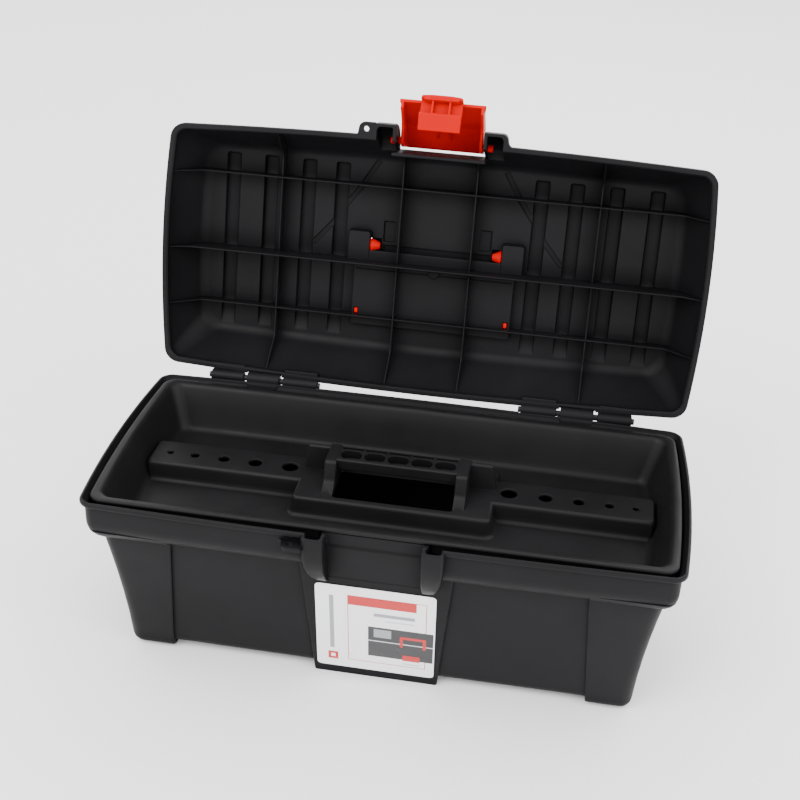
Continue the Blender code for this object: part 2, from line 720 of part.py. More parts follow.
def make_latch(plastic):
    def at(points):
        return [(LATCH_Y + y, LATCH_Z + z) for y, z in points]

    outer = [(-19.2, -28.0), (-19.4, -12.0), (-18.8, 0.0)]
    outer += [(-16.4, 9.2), (-11.2, 16.0), (-4.4, 20.6)]
    inner = [(-5.6, 18.4), (-12.6, 13.9), (-15.0, 8.2)]
    inner += [(-16.6, -0.4), (-17.2, -12.0), (-17.0, -28.0)]
    latch = add_object("front_latch", prism(at(outer + inner), -LATCH_HALF, LATCH_HALF))
    cheek = outer + [(-3.0, 17.0), (3.2, 4.0), (4.0, 0.0), (2.8, -4.0), (-6.0, -9.0), (-12.0, -28.0)]
    for side in SIDES:
        limits = pair((LATCH_HALF - PLATE, LATCH_HALF), side)
        add(latch, prism(at(cheek), *limits), f"cheek{side:+d}")
        stub = cylinder(STUB_R, (side * 33.0, LATCH_Y, LATCH_Z), 9.0)
        add(latch, stub, f"stub{side:+d}")
    arch = ((15.0, -26.0), (15.0, -36.0), (13.6, -37.6), (10.0, -38.5), (5.0, -38.9))
    arch += tuple((-x, z) for x, z in reversed(arch))
    tab = [(x, LATCH_Z + z) for x, z in arch]
    add(latch, prism(tab, LATCH_Y - 19.3, LATCH_Y - 16.9, "Y"), "tab")
    hook = [(-18.0, -30.4), (5.4, -30.4), (5.4, -31.8), (-5.2, -38.2)]
    hook += [(-6.6, -36.4), (1.0, -32.4), (-18.0, -32.4)]
    add(latch, prism(at(hook), -HOOK_HALF, HOOK_HALF), "hook")
    web = [(-18.0, -31.0), (0.5, -31.4), (-6.0, -37.2), (-18.0, -37.6)]
    for side in SIDES:
        add(latch, prism(at(web), *pair((5.4, 6.8), side)), f"web{side:+d}")
    latch.data.materials.append(plastic)
    return latch


def make_handle(plastic):
    top = 184.6
    grip = (
        (GRIP_Y[0], 179.4), (GRIP_Y[0] + 1.6, 177.8),
        (GRIP_Y[1] - 1.6, 177.8), (GRIP_Y[1], 179.4),
        (GRIP_Y[1], top - 1.0), (GRIP_Y[1] - 2.2, top + 1.0),
        (GRIP_Y[0] + 2.2, top + 1.0), (GRIP_Y[0], top - 1.0),
    )
    handle = add_object("carry_handle", prism(grip, -HANDLE_HALF, HANDLE_HALF))
    for side in SIDES:
        limits = pair((50.4, 56.0), side)
        front, rear = HANDLE_Y, GRIP_Y[0] + 2.0
        arm = ((front, 177.6), (rear, 178.0), (rear, top - 0.4), (front, top - 0.4))
        add(handle, prism(arm, *limits), f"arm{side:+d}")
        add(handle, cylinder(4.6, (side * 53.2, HANDLE_Y, HANDLE_Z), 5.5), f"eye{side:+d}")
        rings = []
        for x, radius in ((CONE_X[0] + 0.6, 4.3), (CONE_X[0], CONE_R[0]), (CONE_X[1], CONE_R[1])):
            turns = [math.radians(18 * step) for step in range(20)]
            rings.append(
                [(side * x, HANDLE_Y + radius * math.cos(a), HANDLE_Z + radius * math.sin(a)) for a in turns]
            )
        add(handle, loft(rings), f"lug{side:+d}")
        add(handle, cylinder(PIN_R, (side * 57.5, HANDLE_Y, HANDLE_Z), 5.0), f"pivot{side:+d}")
        nib = block(pair((56.4, HANDLE_HALF), side), (43.0, 47.0), (173.8, 179.0))
        add(handle, nib, f"nib{side:+d}")
    handle.data.materials.append(plastic)
    return handle


def make_pin(side, plastic):
    low, high = pair(PIN_X, side)
    name = "hinge_pin_right" if side > 0 else "hinge_pin_left"
    pin = add_object(name, cylinder(PIN_R, (0.0, 0.0, 0.0), high - low))
    pin.location = Vector(((low + high) / 2, HINGE_Y, HINGE_Z)) * MM
    pin.data.materials.append(plastic)
    return pin


def make_label(paper):
    """A thin sticker on the centre panel, which leans back by the body's slope."""
    lean = math.atan(BODY_SLOPE)
    middle = (LABEL_Z[0] + LABEL_Z[1]) / 2
    half_height = (LABEL_Z[1] - LABEL_Z[0]) / 2 / math.cos(lean)
    rings = [
        outline(LABEL_HALF_X, half_height, 3.0, z=z, side_steps=1) for z in (0.0, LABEL_THICK)
    ]
    label = add_object("front_label", loft(rings))
    out = CLEAR / math.cos(lean)
    label.location = Vector((0.0, front_y(middle, PANEL_PROUD) - out, middle)) * MM
    label.rotation_euler.x = math.pi / 2 + lean
    label.data.materials.append(paper)
    return label


def build():
    black = material("black_polypropylene", (0.018, 0.018, 0.020), 0.45)
    tray_black = material("tray_polypropylene", (0.024, 0.024, 0.026), 0.42)
    red = material("red_polypropylene", (0.75, 0.018, 0.012), 0.3)
    pin_black = material("pin_plastic", (0.012, 0.012, 0.013), 0.35)
    paper = material("label_paper", (0.85, 0.85, 0.85), 0.4)

    make_tub(black)
    make_tray(tray_black)
    make_label(paper)
    for side in SIDES:
        make_pin(side, pin_black)

    hinge = (0.0, HINGE_Y, HINGE_Z)
    lid_hinge = add_empty("lid_hinge", hinge, -LID_OPEN_DEG)
    latch_place = (0.0, LATCH_Y, LATCH_Z)
    latch_hinge = add_empty("latch_hinge", latch_place, -LATCH_OPEN_DEG, lid_hinge, hinge)
    handle_place = (0.0, HANDLE_Y, HANDLE_Z)
    handle_hinge = add_empty("handle_hinge", handle_place, 0.0, lid_hinge, hinge)
    for obj, empty, place in (
        (make_lid(black), lid_hinge, hinge),
        (make_latch(red), latch_hinge, latch_place),
        (make_handle(red), handle_hinge, handle_place),
    ):
        hang(obj, empty, place)
        keep_helpers_with(obj)


clear_scene()
PARTS = new_collection("toolbox")
CUTTERS = new_collection("cutters")
build()
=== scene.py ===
"""Looks of a moulded toolbox with a hinged lid, a lift-out tray, a latch and a folding handle.

Each piece is drawn in millimetres as it stands when the box is shut: the origin is the centre of the
underside, +X runs along the length and -Y is the front. It is then turned with its body to where the
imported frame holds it. The frame gives the hinge line, the pivots and how far the lid and latch open.
"""

import json
import math

import bmesh
import bpy
from mathutils import Matrix, Vector


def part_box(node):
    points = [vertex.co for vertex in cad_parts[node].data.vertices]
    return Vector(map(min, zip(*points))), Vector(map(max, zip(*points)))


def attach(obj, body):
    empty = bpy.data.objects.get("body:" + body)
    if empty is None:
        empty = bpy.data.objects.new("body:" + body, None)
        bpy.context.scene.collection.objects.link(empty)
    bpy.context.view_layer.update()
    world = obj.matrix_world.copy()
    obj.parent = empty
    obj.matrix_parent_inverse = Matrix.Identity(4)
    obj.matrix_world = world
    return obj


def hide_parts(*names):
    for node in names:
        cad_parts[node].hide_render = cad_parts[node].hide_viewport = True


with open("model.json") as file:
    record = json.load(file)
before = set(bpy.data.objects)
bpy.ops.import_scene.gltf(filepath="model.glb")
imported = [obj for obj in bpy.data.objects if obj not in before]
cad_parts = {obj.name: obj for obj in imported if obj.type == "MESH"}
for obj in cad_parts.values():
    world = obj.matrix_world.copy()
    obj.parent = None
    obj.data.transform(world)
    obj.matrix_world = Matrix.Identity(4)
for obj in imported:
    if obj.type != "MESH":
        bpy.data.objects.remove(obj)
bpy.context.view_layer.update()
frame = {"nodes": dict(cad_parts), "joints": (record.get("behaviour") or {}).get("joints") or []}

MM = 0.001
SIDES = (-1, 1)

# ---------------------------------------------------------------- from the frame

JOINTS = {joint["name"]: joint for joint in frame["joints"]}


def pivot(name):
    return Vector(JOINTS[name]["pos_m"]) / MM


def turn_about(point, degrees):
    """A turn about a line along X through a point."""
    turn = Matrix.Rotation(math.radians(degrees), 4, "X")
    return Matrix.Translation(point) @ turn @ Matrix.Translation(-point)


HINGE = pivot("lid_hinge")
LID_TURN = turn_about(HINGE, JOINTS["lid_hinge"]["range_deg"][0])
LATCH = LID_TURN.inverted() @ pivot("latch_hinge")
LATCH_TURN = LID_TURN @ turn_about(LATCH, JOINTS["latch_hinge"]["range_deg"][0])
HANDLE = LID_TURN.inverted() @ pivot("handle_hinge")

# ---------------------------------------------------------------- sizes, in millimetres

WALL = 2.4

# Tub
RIM_Z = 139.0
BEAD = (196.4, 92.2, 91.4, 4.8, 4.5, 3.0)  # half length, rear and front half depth, then their bows
BEAD_RADIUS = 9.0
FLOOR_Z = 3.5
FOOT_HALF = (174.7, 56.3)
BODY_RADIUS = 5.0
FOOT_FILLET = 8.0
BAND_IN = 3.0  # how far the band stands in from the bead
BODY_FLARE = 9.8
BODY_SLOPE = 0.176
BODY_TOP = 104.6  # the wall's end, where the band's rounded underside starts
BAND_Z = 123.0
LEDGE_Z = 120.5
POST_PROUD = 2.6
POST_START, POST_START_Z = (146.5, 137.7), 118.5  # |x| of the slanted edge at the foot, and at this height
PANEL_PROUD = 3.2
PANEL_HALF, PANEL_TOP = (43.3, 53.0), 122.5  # half width at the foot and at the top
EAR_IN, EAR_OUT, EAR_Y, EAR_TOP = 31.7, 46.0, -99.0, 138.2
EYE = (-53.3, -96.3)  # the padlock eyes' centre
EYE_R = 2.0
BARRELS = ((77.5, 104.0), (107.0, 131.6), (134.6, 159.7))
BARREL_R = 4.4
TUB_BARREL_R = 5.3
BORE_R = 2.4
PIN_R = 2.27

# Lid
LID_Z = 139.3
LID_STEP = 0.9  # how far the lid's wall stands in from its rim
LID_RIM = (197.6, 92.4, 88.2, 4.9, 4.9, 4.4)
LID_TOP = (180.1, 73.7, 73.7, 3.5, 2.0, 2.0)
LID_FLOOR = 180.2
LID_TOP_Z = 182.6
CHANNELS_X = (75.4, 101.3, 130.7, 160.3)
CHANNEL_HALF = 5.1
CHANNEL_Y = (-66.0, 67.0)
LONG_RIBS = ((-52.4, 165.0), (5.1, 155.0), (48.1, 167.0))  # y, crest z
CROSS_RIBS = ((119.5, 168.0), (27.6, 166.0))  # |x|, crest z
RIB = 1.15
RIB_FOOT = 145.0
NOTCH_Y = -81.0
HOUSING_Z = 172.8

# Handle
GRIP_Y = (40.0, 52.0)
GRIP_HALF_X = 59.4

# Tray
TRAY_RIM = (191.3, 85.4)
TRAY_FLOOR = 106.0
TRAY_WALL = 1.9
BLOCK_TOP = 119.5
BLOCK_X, BLOCK_Y = (-70.0, 70.0), (-26.0, 46.0)
BAR_Y = (-3.5, 29.5)
BAR_END, BAR_END_MAX = 178.0, 180.8  # half length at the foot, and its limit
BAR_LEAN = 0.33  # how much the half length gains per millimetre of height
DRILL_HOLES = ((78.2, 11.5), (103.7, 9.5), (126.7, 7.8), (148.1, 6.2), (166.3, 4.4))  # |x|, diameter
HOLE_Y = 12.5
GRIP_X = 42.0
GRIP_BAR_Y, GRIP_BAR_Z = (-1.5, 18.0), (131.2, 139.0)
POCKET_STEP = 16.6

# Looks
SMOOTH_DEG = 38.0  # a wider angle than this between faces is drawn as a crease
VIEW = (7.86, 29.27, 2.7)  # azimuth and elevation of the line of sight, and roll, in degrees
LENS = 60.4
CAMERA_PLACE = (107.56, -778.78, 631.58)
LIGHTS_FACE = (0.0, 0.0, 0.15)  # in metres

# ---------------------------------------------------------------- shapes


def outline(plan, radius, z, grow=0.0):
    """A rounded rectangle with bowed sides; plan is (half length, rear, front, and their three bows)."""
    side_steps, arc_steps = 14, 6
    half_x, rear, front = (value + grow for value in plan[:3])
    bow_x, bow_rear, bow_front = plan[3:]
    corners = []
    for quarter in range(4):
        centre_x = (half_x - radius) * (1 if quarter in (0, 3) else -1)
        centre_y = rear - radius if quarter < 2 else radius - front
        turns = [math.radians(90 * (quarter + step / arc_steps)) for step in range(arc_steps + 1)]
        corners.append([(centre_x + radius * math.cos(a), centre_y + radius * math.sin(a)) for a in turns])
    ring = []
    for corner, after in zip(corners, corners[1:] + corners[:1]):
        ring += corner
        ring += between(corner[-1], after[0], side_steps)
    bowed = []
    for x, y in ring:
        half_y, bow_y = (rear, bow_rear) if y > 0 else (front, bow_front)
        out_x = bow_x * (1 - (y / half_y) ** 2) * x / half_x
        out_y = bow_y * (1 - (x / half_x) ** 2) * y / half_y
        bowed.append((x + out_x, y + out_y, z))
    return bowed


def between(start, end, steps):
    """Points that split a line into equal steps, without its ends."""
    return [tuple(a + (b - a) * i / steps for a, b in zip(start, end)) for i in range(1, steps)]


def rounded(corners, arc_steps=4, side_steps=1):
    """A flat outline through (a, b, radius) corners."""
    arcs = []
    for i, (a, b, radius) in enumerate(corners):
        here = Vector((a, b))
        if not radius:
            arcs.append([(a, b)])
            continue
        to_last = (Vector(corners[i - 1][:2]) - here).normalized()
        to_next = (Vector(corners[(i + 1) % len(corners)][:2]) - here).normalized()
        half = to_last.angle(to_next) / 2
        centre = here + (to_last + to_next).normalized() * (radius / math.sin(half))
        first = here + to_last * (radius / math.tan(half)) - centre
        sweep = (math.pi - 2 * half) * (1 if to_last.cross(to_next) < 0 else -1)
        arcs.append([tuple(centre + turned(first, sweep * s / arc_steps)) for s in range(arc_steps + 1)])
    points = []
    for arc, after in zip(arcs, arcs[1:] + arcs[:1]):
        points += arc
        points += between(arc[-1], after[0], side_steps)
    return points


def turned(vector, angle):
    c, s = math.cos(angle), math.sin(angle)
    return Vector((vector.x * c - vector.y * s, vector.x * s + vector.y * c))


def rectangle(x, y, radius):
    return rounded([(x[0], y[0], radius), (x[1], y[0], radius), (x[1], y[1], radius), (x[0], y[1], radius)])


def fillet(radius, steps=5):
    """(inset, rise) along a quarter circle, from the flat to the wall."""
    turns = [math.pi / 2 * (1 - i / steps) for i in range(steps + 1)]
    return [(radius * (1 - math.cos(a)), radius * (1 - math.sin(a))) for a in turns]


def outward(bm):
    """Turns every face of a closed mesh to point out of it."""
    bmesh.ops.recalc_face_normals(bm, faces=bm.faces)
    if bm.calc_volume(signed=True) < 0:
        bmesh.ops.reverse_faces(bm, faces=bm.faces)
    return bm


def loft(rings):
    """A closed body through rings of the same number of points."""
    bm = bmesh.new()
    rows = [[bm.verts.new(point) for point in ring] for ring in rings]
    count = len(rows[0])
    for low, high in zip(rows, rows[1:]):
        for i in range(count):
            j = (i + 1) % count
            bm.faces.new((low[i], low[j], high[j], high[i]))
    bmesh.ops.triangulate(bm, faces=bm.faces[:])
    bm.faces.new(rows[0])
    bm.faces.new(rows[-1])
    return outward(bm)


def tower(outline_at, profile):
    """A loft through outline_at(grow, z) for each (grow, z) of a profile."""
    return loft([outline_at(grow, z) for grow, z in profile])


def pad(x, y, profile, radius):
    """A rounded box whose sides follow a profile of (grow, z)."""
    def ring(grow, z):
        limits = (x[0] - grow, x[1] + grow), (y[0] - grow, y[1] + grow)
        return [(a, b, z) for a, b in rectangle(*limits, max(radius + grow, 0.3))]
    return tower(ring, profile)


def soften(bm, edges, width, steps=3):
    bmesh.ops.bevel(
        bm, geom=edges, offset=width, segments=steps, profile=0.5, affect="EDGES", clamp_overlap=True
    )
    return outward(bm)


def box(x, y, z, edge, top_x=None, top_y=None):
    """A box, with sharp edges for an edge of 0; top_x and top_y give its top other limits."""
    bm = bmesh.new()
    bmesh.ops.create_cube(bm, size=1.0)
    for vert in bm.verts:
        upper = vert.co.z > 0
        limits_x = top_x if upper and top_x else x
        limits_y = top_y if upper and top_y else y
        vert.co = (limits_x[vert.co.x > 0], limits_y[vert.co.y > 0], z[upper])
    return soften(bm, bm.edges[:], edge) if edge else bm


def prism(points, low, high, axis, edge):
    """A flat outline drawn out along an axis, with rounded ends: (y, z), (x, z) or (x, y) points."""
    place = {
        "X": lambda a, b, depth: (depth, a, b),
        "Y": lambda a, b, depth: (a, depth, b),
        "Z": lambda a, b, depth: (a, b, depth),
    }[axis]
    bm = bmesh.new()
    ends = [[bm.verts.new(place(a, b, depth)) for a, b in points] for depth in (low, high)]
    for i in range(len(points)):
        j = (i + 1) % len(points)
        bm.faces.new((ends[0][i], ends[0][j], ends[1][j], ends[1][i]))
    caps = [bm.faces.new(ends[0]), bm.faces.new(ends[1])]
    outward(bm)
    rim = [line for cap in caps for line in cap.edges]
    return soften(bm, rim, edge, 2)


def lathe(profile, centre, axis="X", steps=32):
    """A turned body through (along, radius) points."""
    rings = []
    for along, radius in profile:
        ring = []
        for i in range(steps):
            a = 2 * math.pi * i / steps
            u, v = radius * math.cos(a), radius * math.sin(a)
            ring.append((centre[0] + along, centre[1] + u, centre[2] + v) if axis == "X"
                        else (centre[0] + u, centre[1] + v, centre[2] + along))
        rings.append(ring)
    return loft(rings)


def rod(radius, centre, length, edge=0.4):
    """A rod along X, with rounded ends, or sharp ones for an edge of 0."""
    half = length / 2
    if not edge:
        return lathe(((-half, radius), (half, radius)), centre)
    ends = ((half - edge, radius), (half - edge * 0.3, radius - edge * 0.3), (half, radius - edge))
    profile = [(-a, r) for a, r in reversed(ends)] + list(ends)
    return lathe(profile, centre)


def both(make):
    """make(side) for the left and the right, as one mesh."""
    return together([make(side) for side in SIDES])


def together(parts):
    """Several meshes that don't touch, as one."""
    whole = bmesh.new()
    for part in parts:
        mesh = bpy.data.meshes.new("part")
        part.to_mesh(mesh)
        part.free()
        whole.from_mesh(mesh)
        bpy.data.meshes.remove(mesh)
    return whole


def pair(limits, side):
    """Limits on |x| as limits on x, on one side of the box."""
    return tuple(sorted(side * value for value in limits))


def box_pair(x, y, z, edge):
    """The same box on the left and the right; x limits |x|."""
    return both(lambda side: box(pair(x, side), y, z, edge))


ADD, CUT = "UNION", "DIFFERENCE"


def carve(base, steps):
    """The mesh that is left when each (operation, bmesh) has been applied to base in turn."""
    bench = bpy.context.scene.collection
    made = []
    for bm in [base] + [tool for _, tool in steps]:
        mesh = bpy.data.meshes.new("work")
        bm.to_mesh(mesh)
        bm.free()
        obj = bpy.data.objects.new("work", mesh)
        bench.objects.link(obj)
        made.append(obj)
    work = made[0]
    for (operation, _), tool in zip(steps, made[1:]):
        step = work.modifiers.new("step", "BOOLEAN")
        step.operation = operation
        step.solver = "EXACT"
        step.object = tool
    bpy.context.view_layer.update()
    result = bpy.data.meshes.new_from_object(work.evaluated_get(bpy.context.evaluated_depsgraph_get()))
    for obj in made:
        bpy.data.meshes.remove(obj.data)
    return result


def show(name, mesh, turn, body, nodes, material):
    """Puts a finished mesh in the scene in place of its CAD nodes."""
    mesh.transform(Matrix.Diagonal((MM, MM, MM, 1.0)) @ turn)
    mesh.materials.clear()
    mesh.materials.append(material)
    mesh.polygons.foreach_set("use_smooth", [True] * len(mesh.polygons))
    mesh.set_sharp_from_angle(angle=math.radians(SMOOTH_DEG))
    obj = bpy.data.objects.new(name, mesh)
    bpy.context.scene.collection.objects.link(obj)
    even = obj.modifiers.new("even_shading", "WEIGHTED_NORMAL")
    even.keep_sharp = True
    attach(obj, body)
    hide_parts(*nodes)


# ---------------------------------------------------------------- tub


def body_half(z):
    return (
        FOOT_HALF[0] + BODY_FLARE * (max(z, 0.0) / 104.0) ** 1.8,
        FOOT_HALF[1] + BODY_SLOPE * z,
    )


def body_ring(grow, z):
    half_x, half_y = body_half(z)
    plan = (half_x, half_y, half_y, BEAD[3] / 2, 0.6, 0.6)
    return outline(plan, max(BODY_RADIUS + grow, 1.5), z, grow)


def band_ring(grow, z):
    return outline(BEAD, max(BEAD_RADIUS + grow, 1.5), z, grow)


def band_share(z):
    """How far the outside has swung from the wall out to the band at a height."""
    return 1 - (1 - min(1.0, (z - BODY_TOP) / (BAND_Z - BODY_TOP))) ** 2.4


def mix(start, end, share):
    return start + (end - start) * share


def swell(z):
    """The band's rounded underside, on its way out from the wall."""
    pairs = zip(body_ring(0.0, z), band_ring(-BAND_IN, z))
    return [tuple(mix(a, b, band_share(z)) for a, b in zip(inner, outer)) for inner, outer in pairs]


def tub_outside():
    rings = [body_ring(-inset, FLOOR_Z + rise) for inset, rise in fillet(FOOT_FILLET)]
    rings += [body_ring(0.0, z) for z in (20.0, 32.0, 45.0, 60.0, 75.0, 90.0, 98.0)]
    rings += [swell(mix(BODY_TOP, BAND_Z, i / 12)) for i in range(13)]
    bead = (
        (-BAND_IN, 134.2), (-2.7, 134.8), (-1.2, 135.1), (-0.4, 135.5), (0.0, 136.2),
        (0.0, 137.7), (-0.3, 138.5), (-0.9, 138.9), (-1.6, RIM_Z),
    )
    return loft(rings + [band_ring(*row) for row in bead])


def tub_inside():
    floor = FLOOR_Z + WALL
    rings = [body_ring(-WALL - inset, floor + rise) for inset, rise in fillet(FOOT_FILLET - 2.0)]
    rings += [body_ring(-WALL, z) for z in (20.0, 32.0, 45.0, 60.0, 75.0, 90.0, 104.0, LEDGE_Z - 0.6)]
    bead = (
        (-6.0, LEDGE_Z - 0.1), (-5.4, LEDGE_Z + 0.5), (-5.2, 133.5), (-4.6, 134.8),
        (-3.0, 136.6), (-2.5, 137.4), (-2.3, 138.4), (-1.7, 139.2), (-1.7, 142.0),
    )
    return loft(rings + [band_ring(*row) for row in bead])


def post(side):
    """The proud end of the body, which ends at a slanted line on the front and the rear."""
    rows = [(POST_PROUD - inset, rise) for inset, rise in fillet(FOOT_FILLET)]
    rows += [(POST_PROUD, z) for z in (30.0, 50.0, 70.0, 85.0, 96.0, BODY_TOP)]
    rows += [(POST_PROUD, BODY_TOP + rise) for rise in (1.5, 3.0, 5.0, 7.5, 10.0)]
    rings = []
    for grow, z in rows:
        start = mix(*POST_START, z / POST_START_Z)
        out = band_share(z) if z > BODY_TOP else 0.0
        half_x, half_y = body_half(z)
        reach = mix(half_x + grow, BEAD[0] - BAND_IN, out)
        front = mix(half_y + grow, BEAD[2] - BAND_IN + 1.0, out)
        rear = mix(half_y + grow, BEAD[1] - BAND_IN + 1.6, out)
        bow = mix(BEAD[3] / 2, BEAD[3], out)
        corner = max(BODY_RADIUS + grow, 1.5)
        points = rounded(
            [(start, -front, 1.0), (reach, -front, corner), (reach, rear, corner), (start, rear, 1.0)],
            side_steps=8,
        )
        ring = []
        for x, y in points:
            x += bow * (1 - (y / front) ** 2) * (x - start) / (reach - start)
            ring.append((side * x, y, z))
        rings.append(ring)
    return loft(rings)


def panel_y(z):
    return -(body_half(z)[1] + PANEL_PROUD)


def label_panel():
    """The proud centre panel, with sides that lean outwards."""
    rings = []
    for z, inset in ((0.0, 0.5), (0.5, 0.0), (30.0, 0.0), (60.0, 0.0), (90.0, 0.0), (PANEL_TOP, 0.0)):
        half = mix(*PANEL_HALF, z / PANEL_TOP) - inset
        front = panel_y(z) + inset
        points = rounded([(-half, -30.0, 0.5), (-half, front, 1.4), (half, front, 1.4), (half, -30.0, 0.5)])
        rings.append([(x, y, z) for x, y in points])
    return loft(rings)


def ear(side):
    """A funnel in line with one of the lid's ears, which widens upwards."""
    rings = []
    for z, outer, front in (
        (88.0, 35.8, -73.6), (91.0, 37.4, -76.2), (95.0, 39.9, -81.8),
        (100.0, 42.0, -87.0), (106.0, 43.8, -91.8), (113.0, 45.1, -95.4), (121.0, 45.8, -98.0),
        (129.0, EAR_OUT, EAR_Y), (EAR_TOP - 0.8, EAR_OUT, EAR_Y), (EAR_TOP, EAR_OUT - 0.6, EAR_Y + 0.6),
    ):
        back = -60.0 - z * 0.1
        bend = min(3.2, 0.36 * (outer - EAR_IN))
        points = rounded(
            [(EAR_IN, back, 0.5), (EAR_IN, front, bend * 0.36), (outer, front, bend), (outer, back, 0.5)]
        )
        rings.append([(side * x, y, z) for x, y in points])
    return loft(rings)


def ear_pocket(side):
    rows = ((122.0, -1.2), (123.0, 0.0), (137.2, 0.0), (138.4, 0.5), (141.0, 0.6))
    return pad(pair((34.0, 43.7), side), (-96.9, -86.0), [(grow, z) for z, grow in rows], 2.2)


def padlock_eye(z, joins_x):
    """A tab round the padlock hole, which reaches in to the wall and the ear."""
    x, y = EYE
    points = rounded(
        [
            (x - 10.0, -90.6, 0), (x - 6.2, -92.6, 2.0), (x - 5.0, y - 5.0, 4.9),
            (joins_x, y - 5.0, 0), (joins_x, -90.6, 0),
        ],
        arc_steps=8,
    )
    return prism(points, *z, "Z", 0.5)


def eye_hole(z):
    return lathe(((-8.0, EYE_R), (8.0, EYE_R)), (*EYE, z), "Z")


def barrels(index, radius, extra=0.0, edge=0.4):
    """Rods on the hinge line, left and right, longer than a row of BARRELS by an extra."""
    def make(side):
        low, high = pair(BARRELS[index], side)
        return rod(radius, ((low + high) / 2, HINGE.y, HINGE.z), high - low + extra, edge)
    return both(make)


def bores(index, radius, extra):
    return barrels(index, radius, extra, edge=0)


def tub_arm(side):
    low, high = pair(BARRELS[1], side)
    y = (88.9, HINGE.y)
    return box((low + 0.4, high - 0.4), y, (130.0, 138.6), 0.8, top_y=(91.8, HINGE.y))


def make_tub(material):
    recess = (-EAR_IN, EAR_IN)
    sill_front = (-110.0, panel_y(95.0) + 0.15)
    sill_top = (-110.0, panel_y(122.7) + 0.15)
    steps = [
        (ADD, both(post)),
        (ADD, label_panel()),
        (ADD, box((-60.0, 60.0), (-45.0, 45.0), (0.0, FLOOR_Z + 1.0), 1.2)),
        (ADD, both(ear)),
        (CUT, tub_inside()),
        (ADD, box((-35.0, 35.0), (-90.5, -79.0), (118.6, 129.5), 0.5)),
        (ADD, box((-35.0, 35.0), (-90.5, -83.3), (128.6, 136.4), 0.9)),
        (CUT, box(recess, (-110.0, -85.6), (127.7, 150.0), 0.6)),
        (CUT, box(recess, (-110.0, -80.8), (122.2, 128.2), 0.5)),
        (CUT, box(recess, sill_front, (95.0, 122.7), 0.0, top_y=sill_top)),
        (CUT, both(ear_pocket)),
        (CUT, box_pair((120.0, 230.0), (-36.0, 36.0), (-2.0, 3.4), 1.5)),
        (ADD, padlock_eye((129.0, 131.6), -45.0)),
        (CUT, eye_hole(130.0)),
        (CUT, bores(0, BARREL_R + 0.5, 2.4)),
        (CUT, bores(2, BARREL_R + 0.5, 2.4)),
        (ADD, both(tub_arm)),
        (ADD, barrels(1, TUB_BARREL_R)),
        (CUT, bores(1, BORE_R, 10.0)),
    ]
    mesh = carve(tub_outside(), steps)
    show("tub", mesh, Matrix.Identity(4), "tub", ["base_tub"], material)


# ---------------------------------------------------------------- lid


def lid_plan(z):
    share = max(0.0, min(1.0, (z - 146.0) / 36.0))
    shares = [share**1.25, share**1.1, share**1.1] * 2
    return [mix(low, high, part) for low, high, part in zip(LID_RIM, LID_TOP, shares)], share


def lid_ring(grow, z):
    plan, share = lid_plan(z)
    return outline(plan, max(9.5 + grow * 0.6 + 8.0 * share, 2.0), z, grow)


def lid_outside():
    profile = [(-LID_STEP, LID_Z), (-0.3, 139.5), (0.0, 140.0), (0.0, 144.2), (-0.3, 144.8)]
    profile += [(-LID_STEP, z) for z in (145.3, 147.0, 151.0, 156.0, 161.0, 166.0, 171.0, 175.0, 177.5)]
    profile += [(-1.2, 179.6), (-1.9, 181.0), (-3.2, 182.1), (-5.0, LID_TOP_Z), (-9.0, LID_TOP_Z)]
    return tower(lid_ring, profile)


def lid_inside():
    profile = [(-3.0, 137.0), (-3.2, 139.3), (-3.5, 139.7), (-4.2, 140.4), (-4.2, 144.6), (-3.6, 146.0)]
    profile += [(-3.3, z) for z in (147.5, 151.0, 156.0, 161.0, 166.0, 171.0, 174.0)]
    profile += [(-3.3 - inset, LID_FLOOR - rise) for inset, rise in reversed(fillet(4.5, 6))]
    return tower(lid_ring, profile)


def inner_reach(z, across, along_x, rear):
    """How far from the middle the lid's inner wall stands: along X, or along Y at the rear or front."""
    plan, _ = lid_plan(z)
    side = 0 if along_x else 1 if rear else 2
    breadth = plan[1] if along_x else plan[0]
    return plan[side] - LID_STEP - WALL + plan[side + 3] * (1 - (across / breadth) ** 2)


def rib_outline(across, along_x, crest):
    """A rib that follows the lid's inside: down one wall, along the floor and up the other."""
    heights = [mix(RIB_FOOT, LID_FLOOR - 3.2, i / 6) for i in range(7)]
    halves = []
    for rear in (True, False):
        outer = [(inner_reach(z, across, along_x, rear) + 1.2, z) for z in heights]
        outer.append((inner_reach(LID_FLOOR, across, along_x, rear) - 2.4, LID_FLOOR + 1.2))
        crest_reach = inner_reach(crest, across, along_x, rear)
        foot_reach = inner_reach(RIB_FOOT + 6.0, across, along_x, rear)
        sweep = [(crest_reach - 13.0 + 1.2 * i, crest - 0.1 * i * i) for i in range(5)]
        foot = [(foot_reach - 3.2, RIB_FOOT + 5.0), (outer[0][0] - 1.7, RIB_FOOT)]
        halves.append(sweep + foot + outer)
    return halves[0] + [(-a, b) for a, b in reversed(halves[1])]


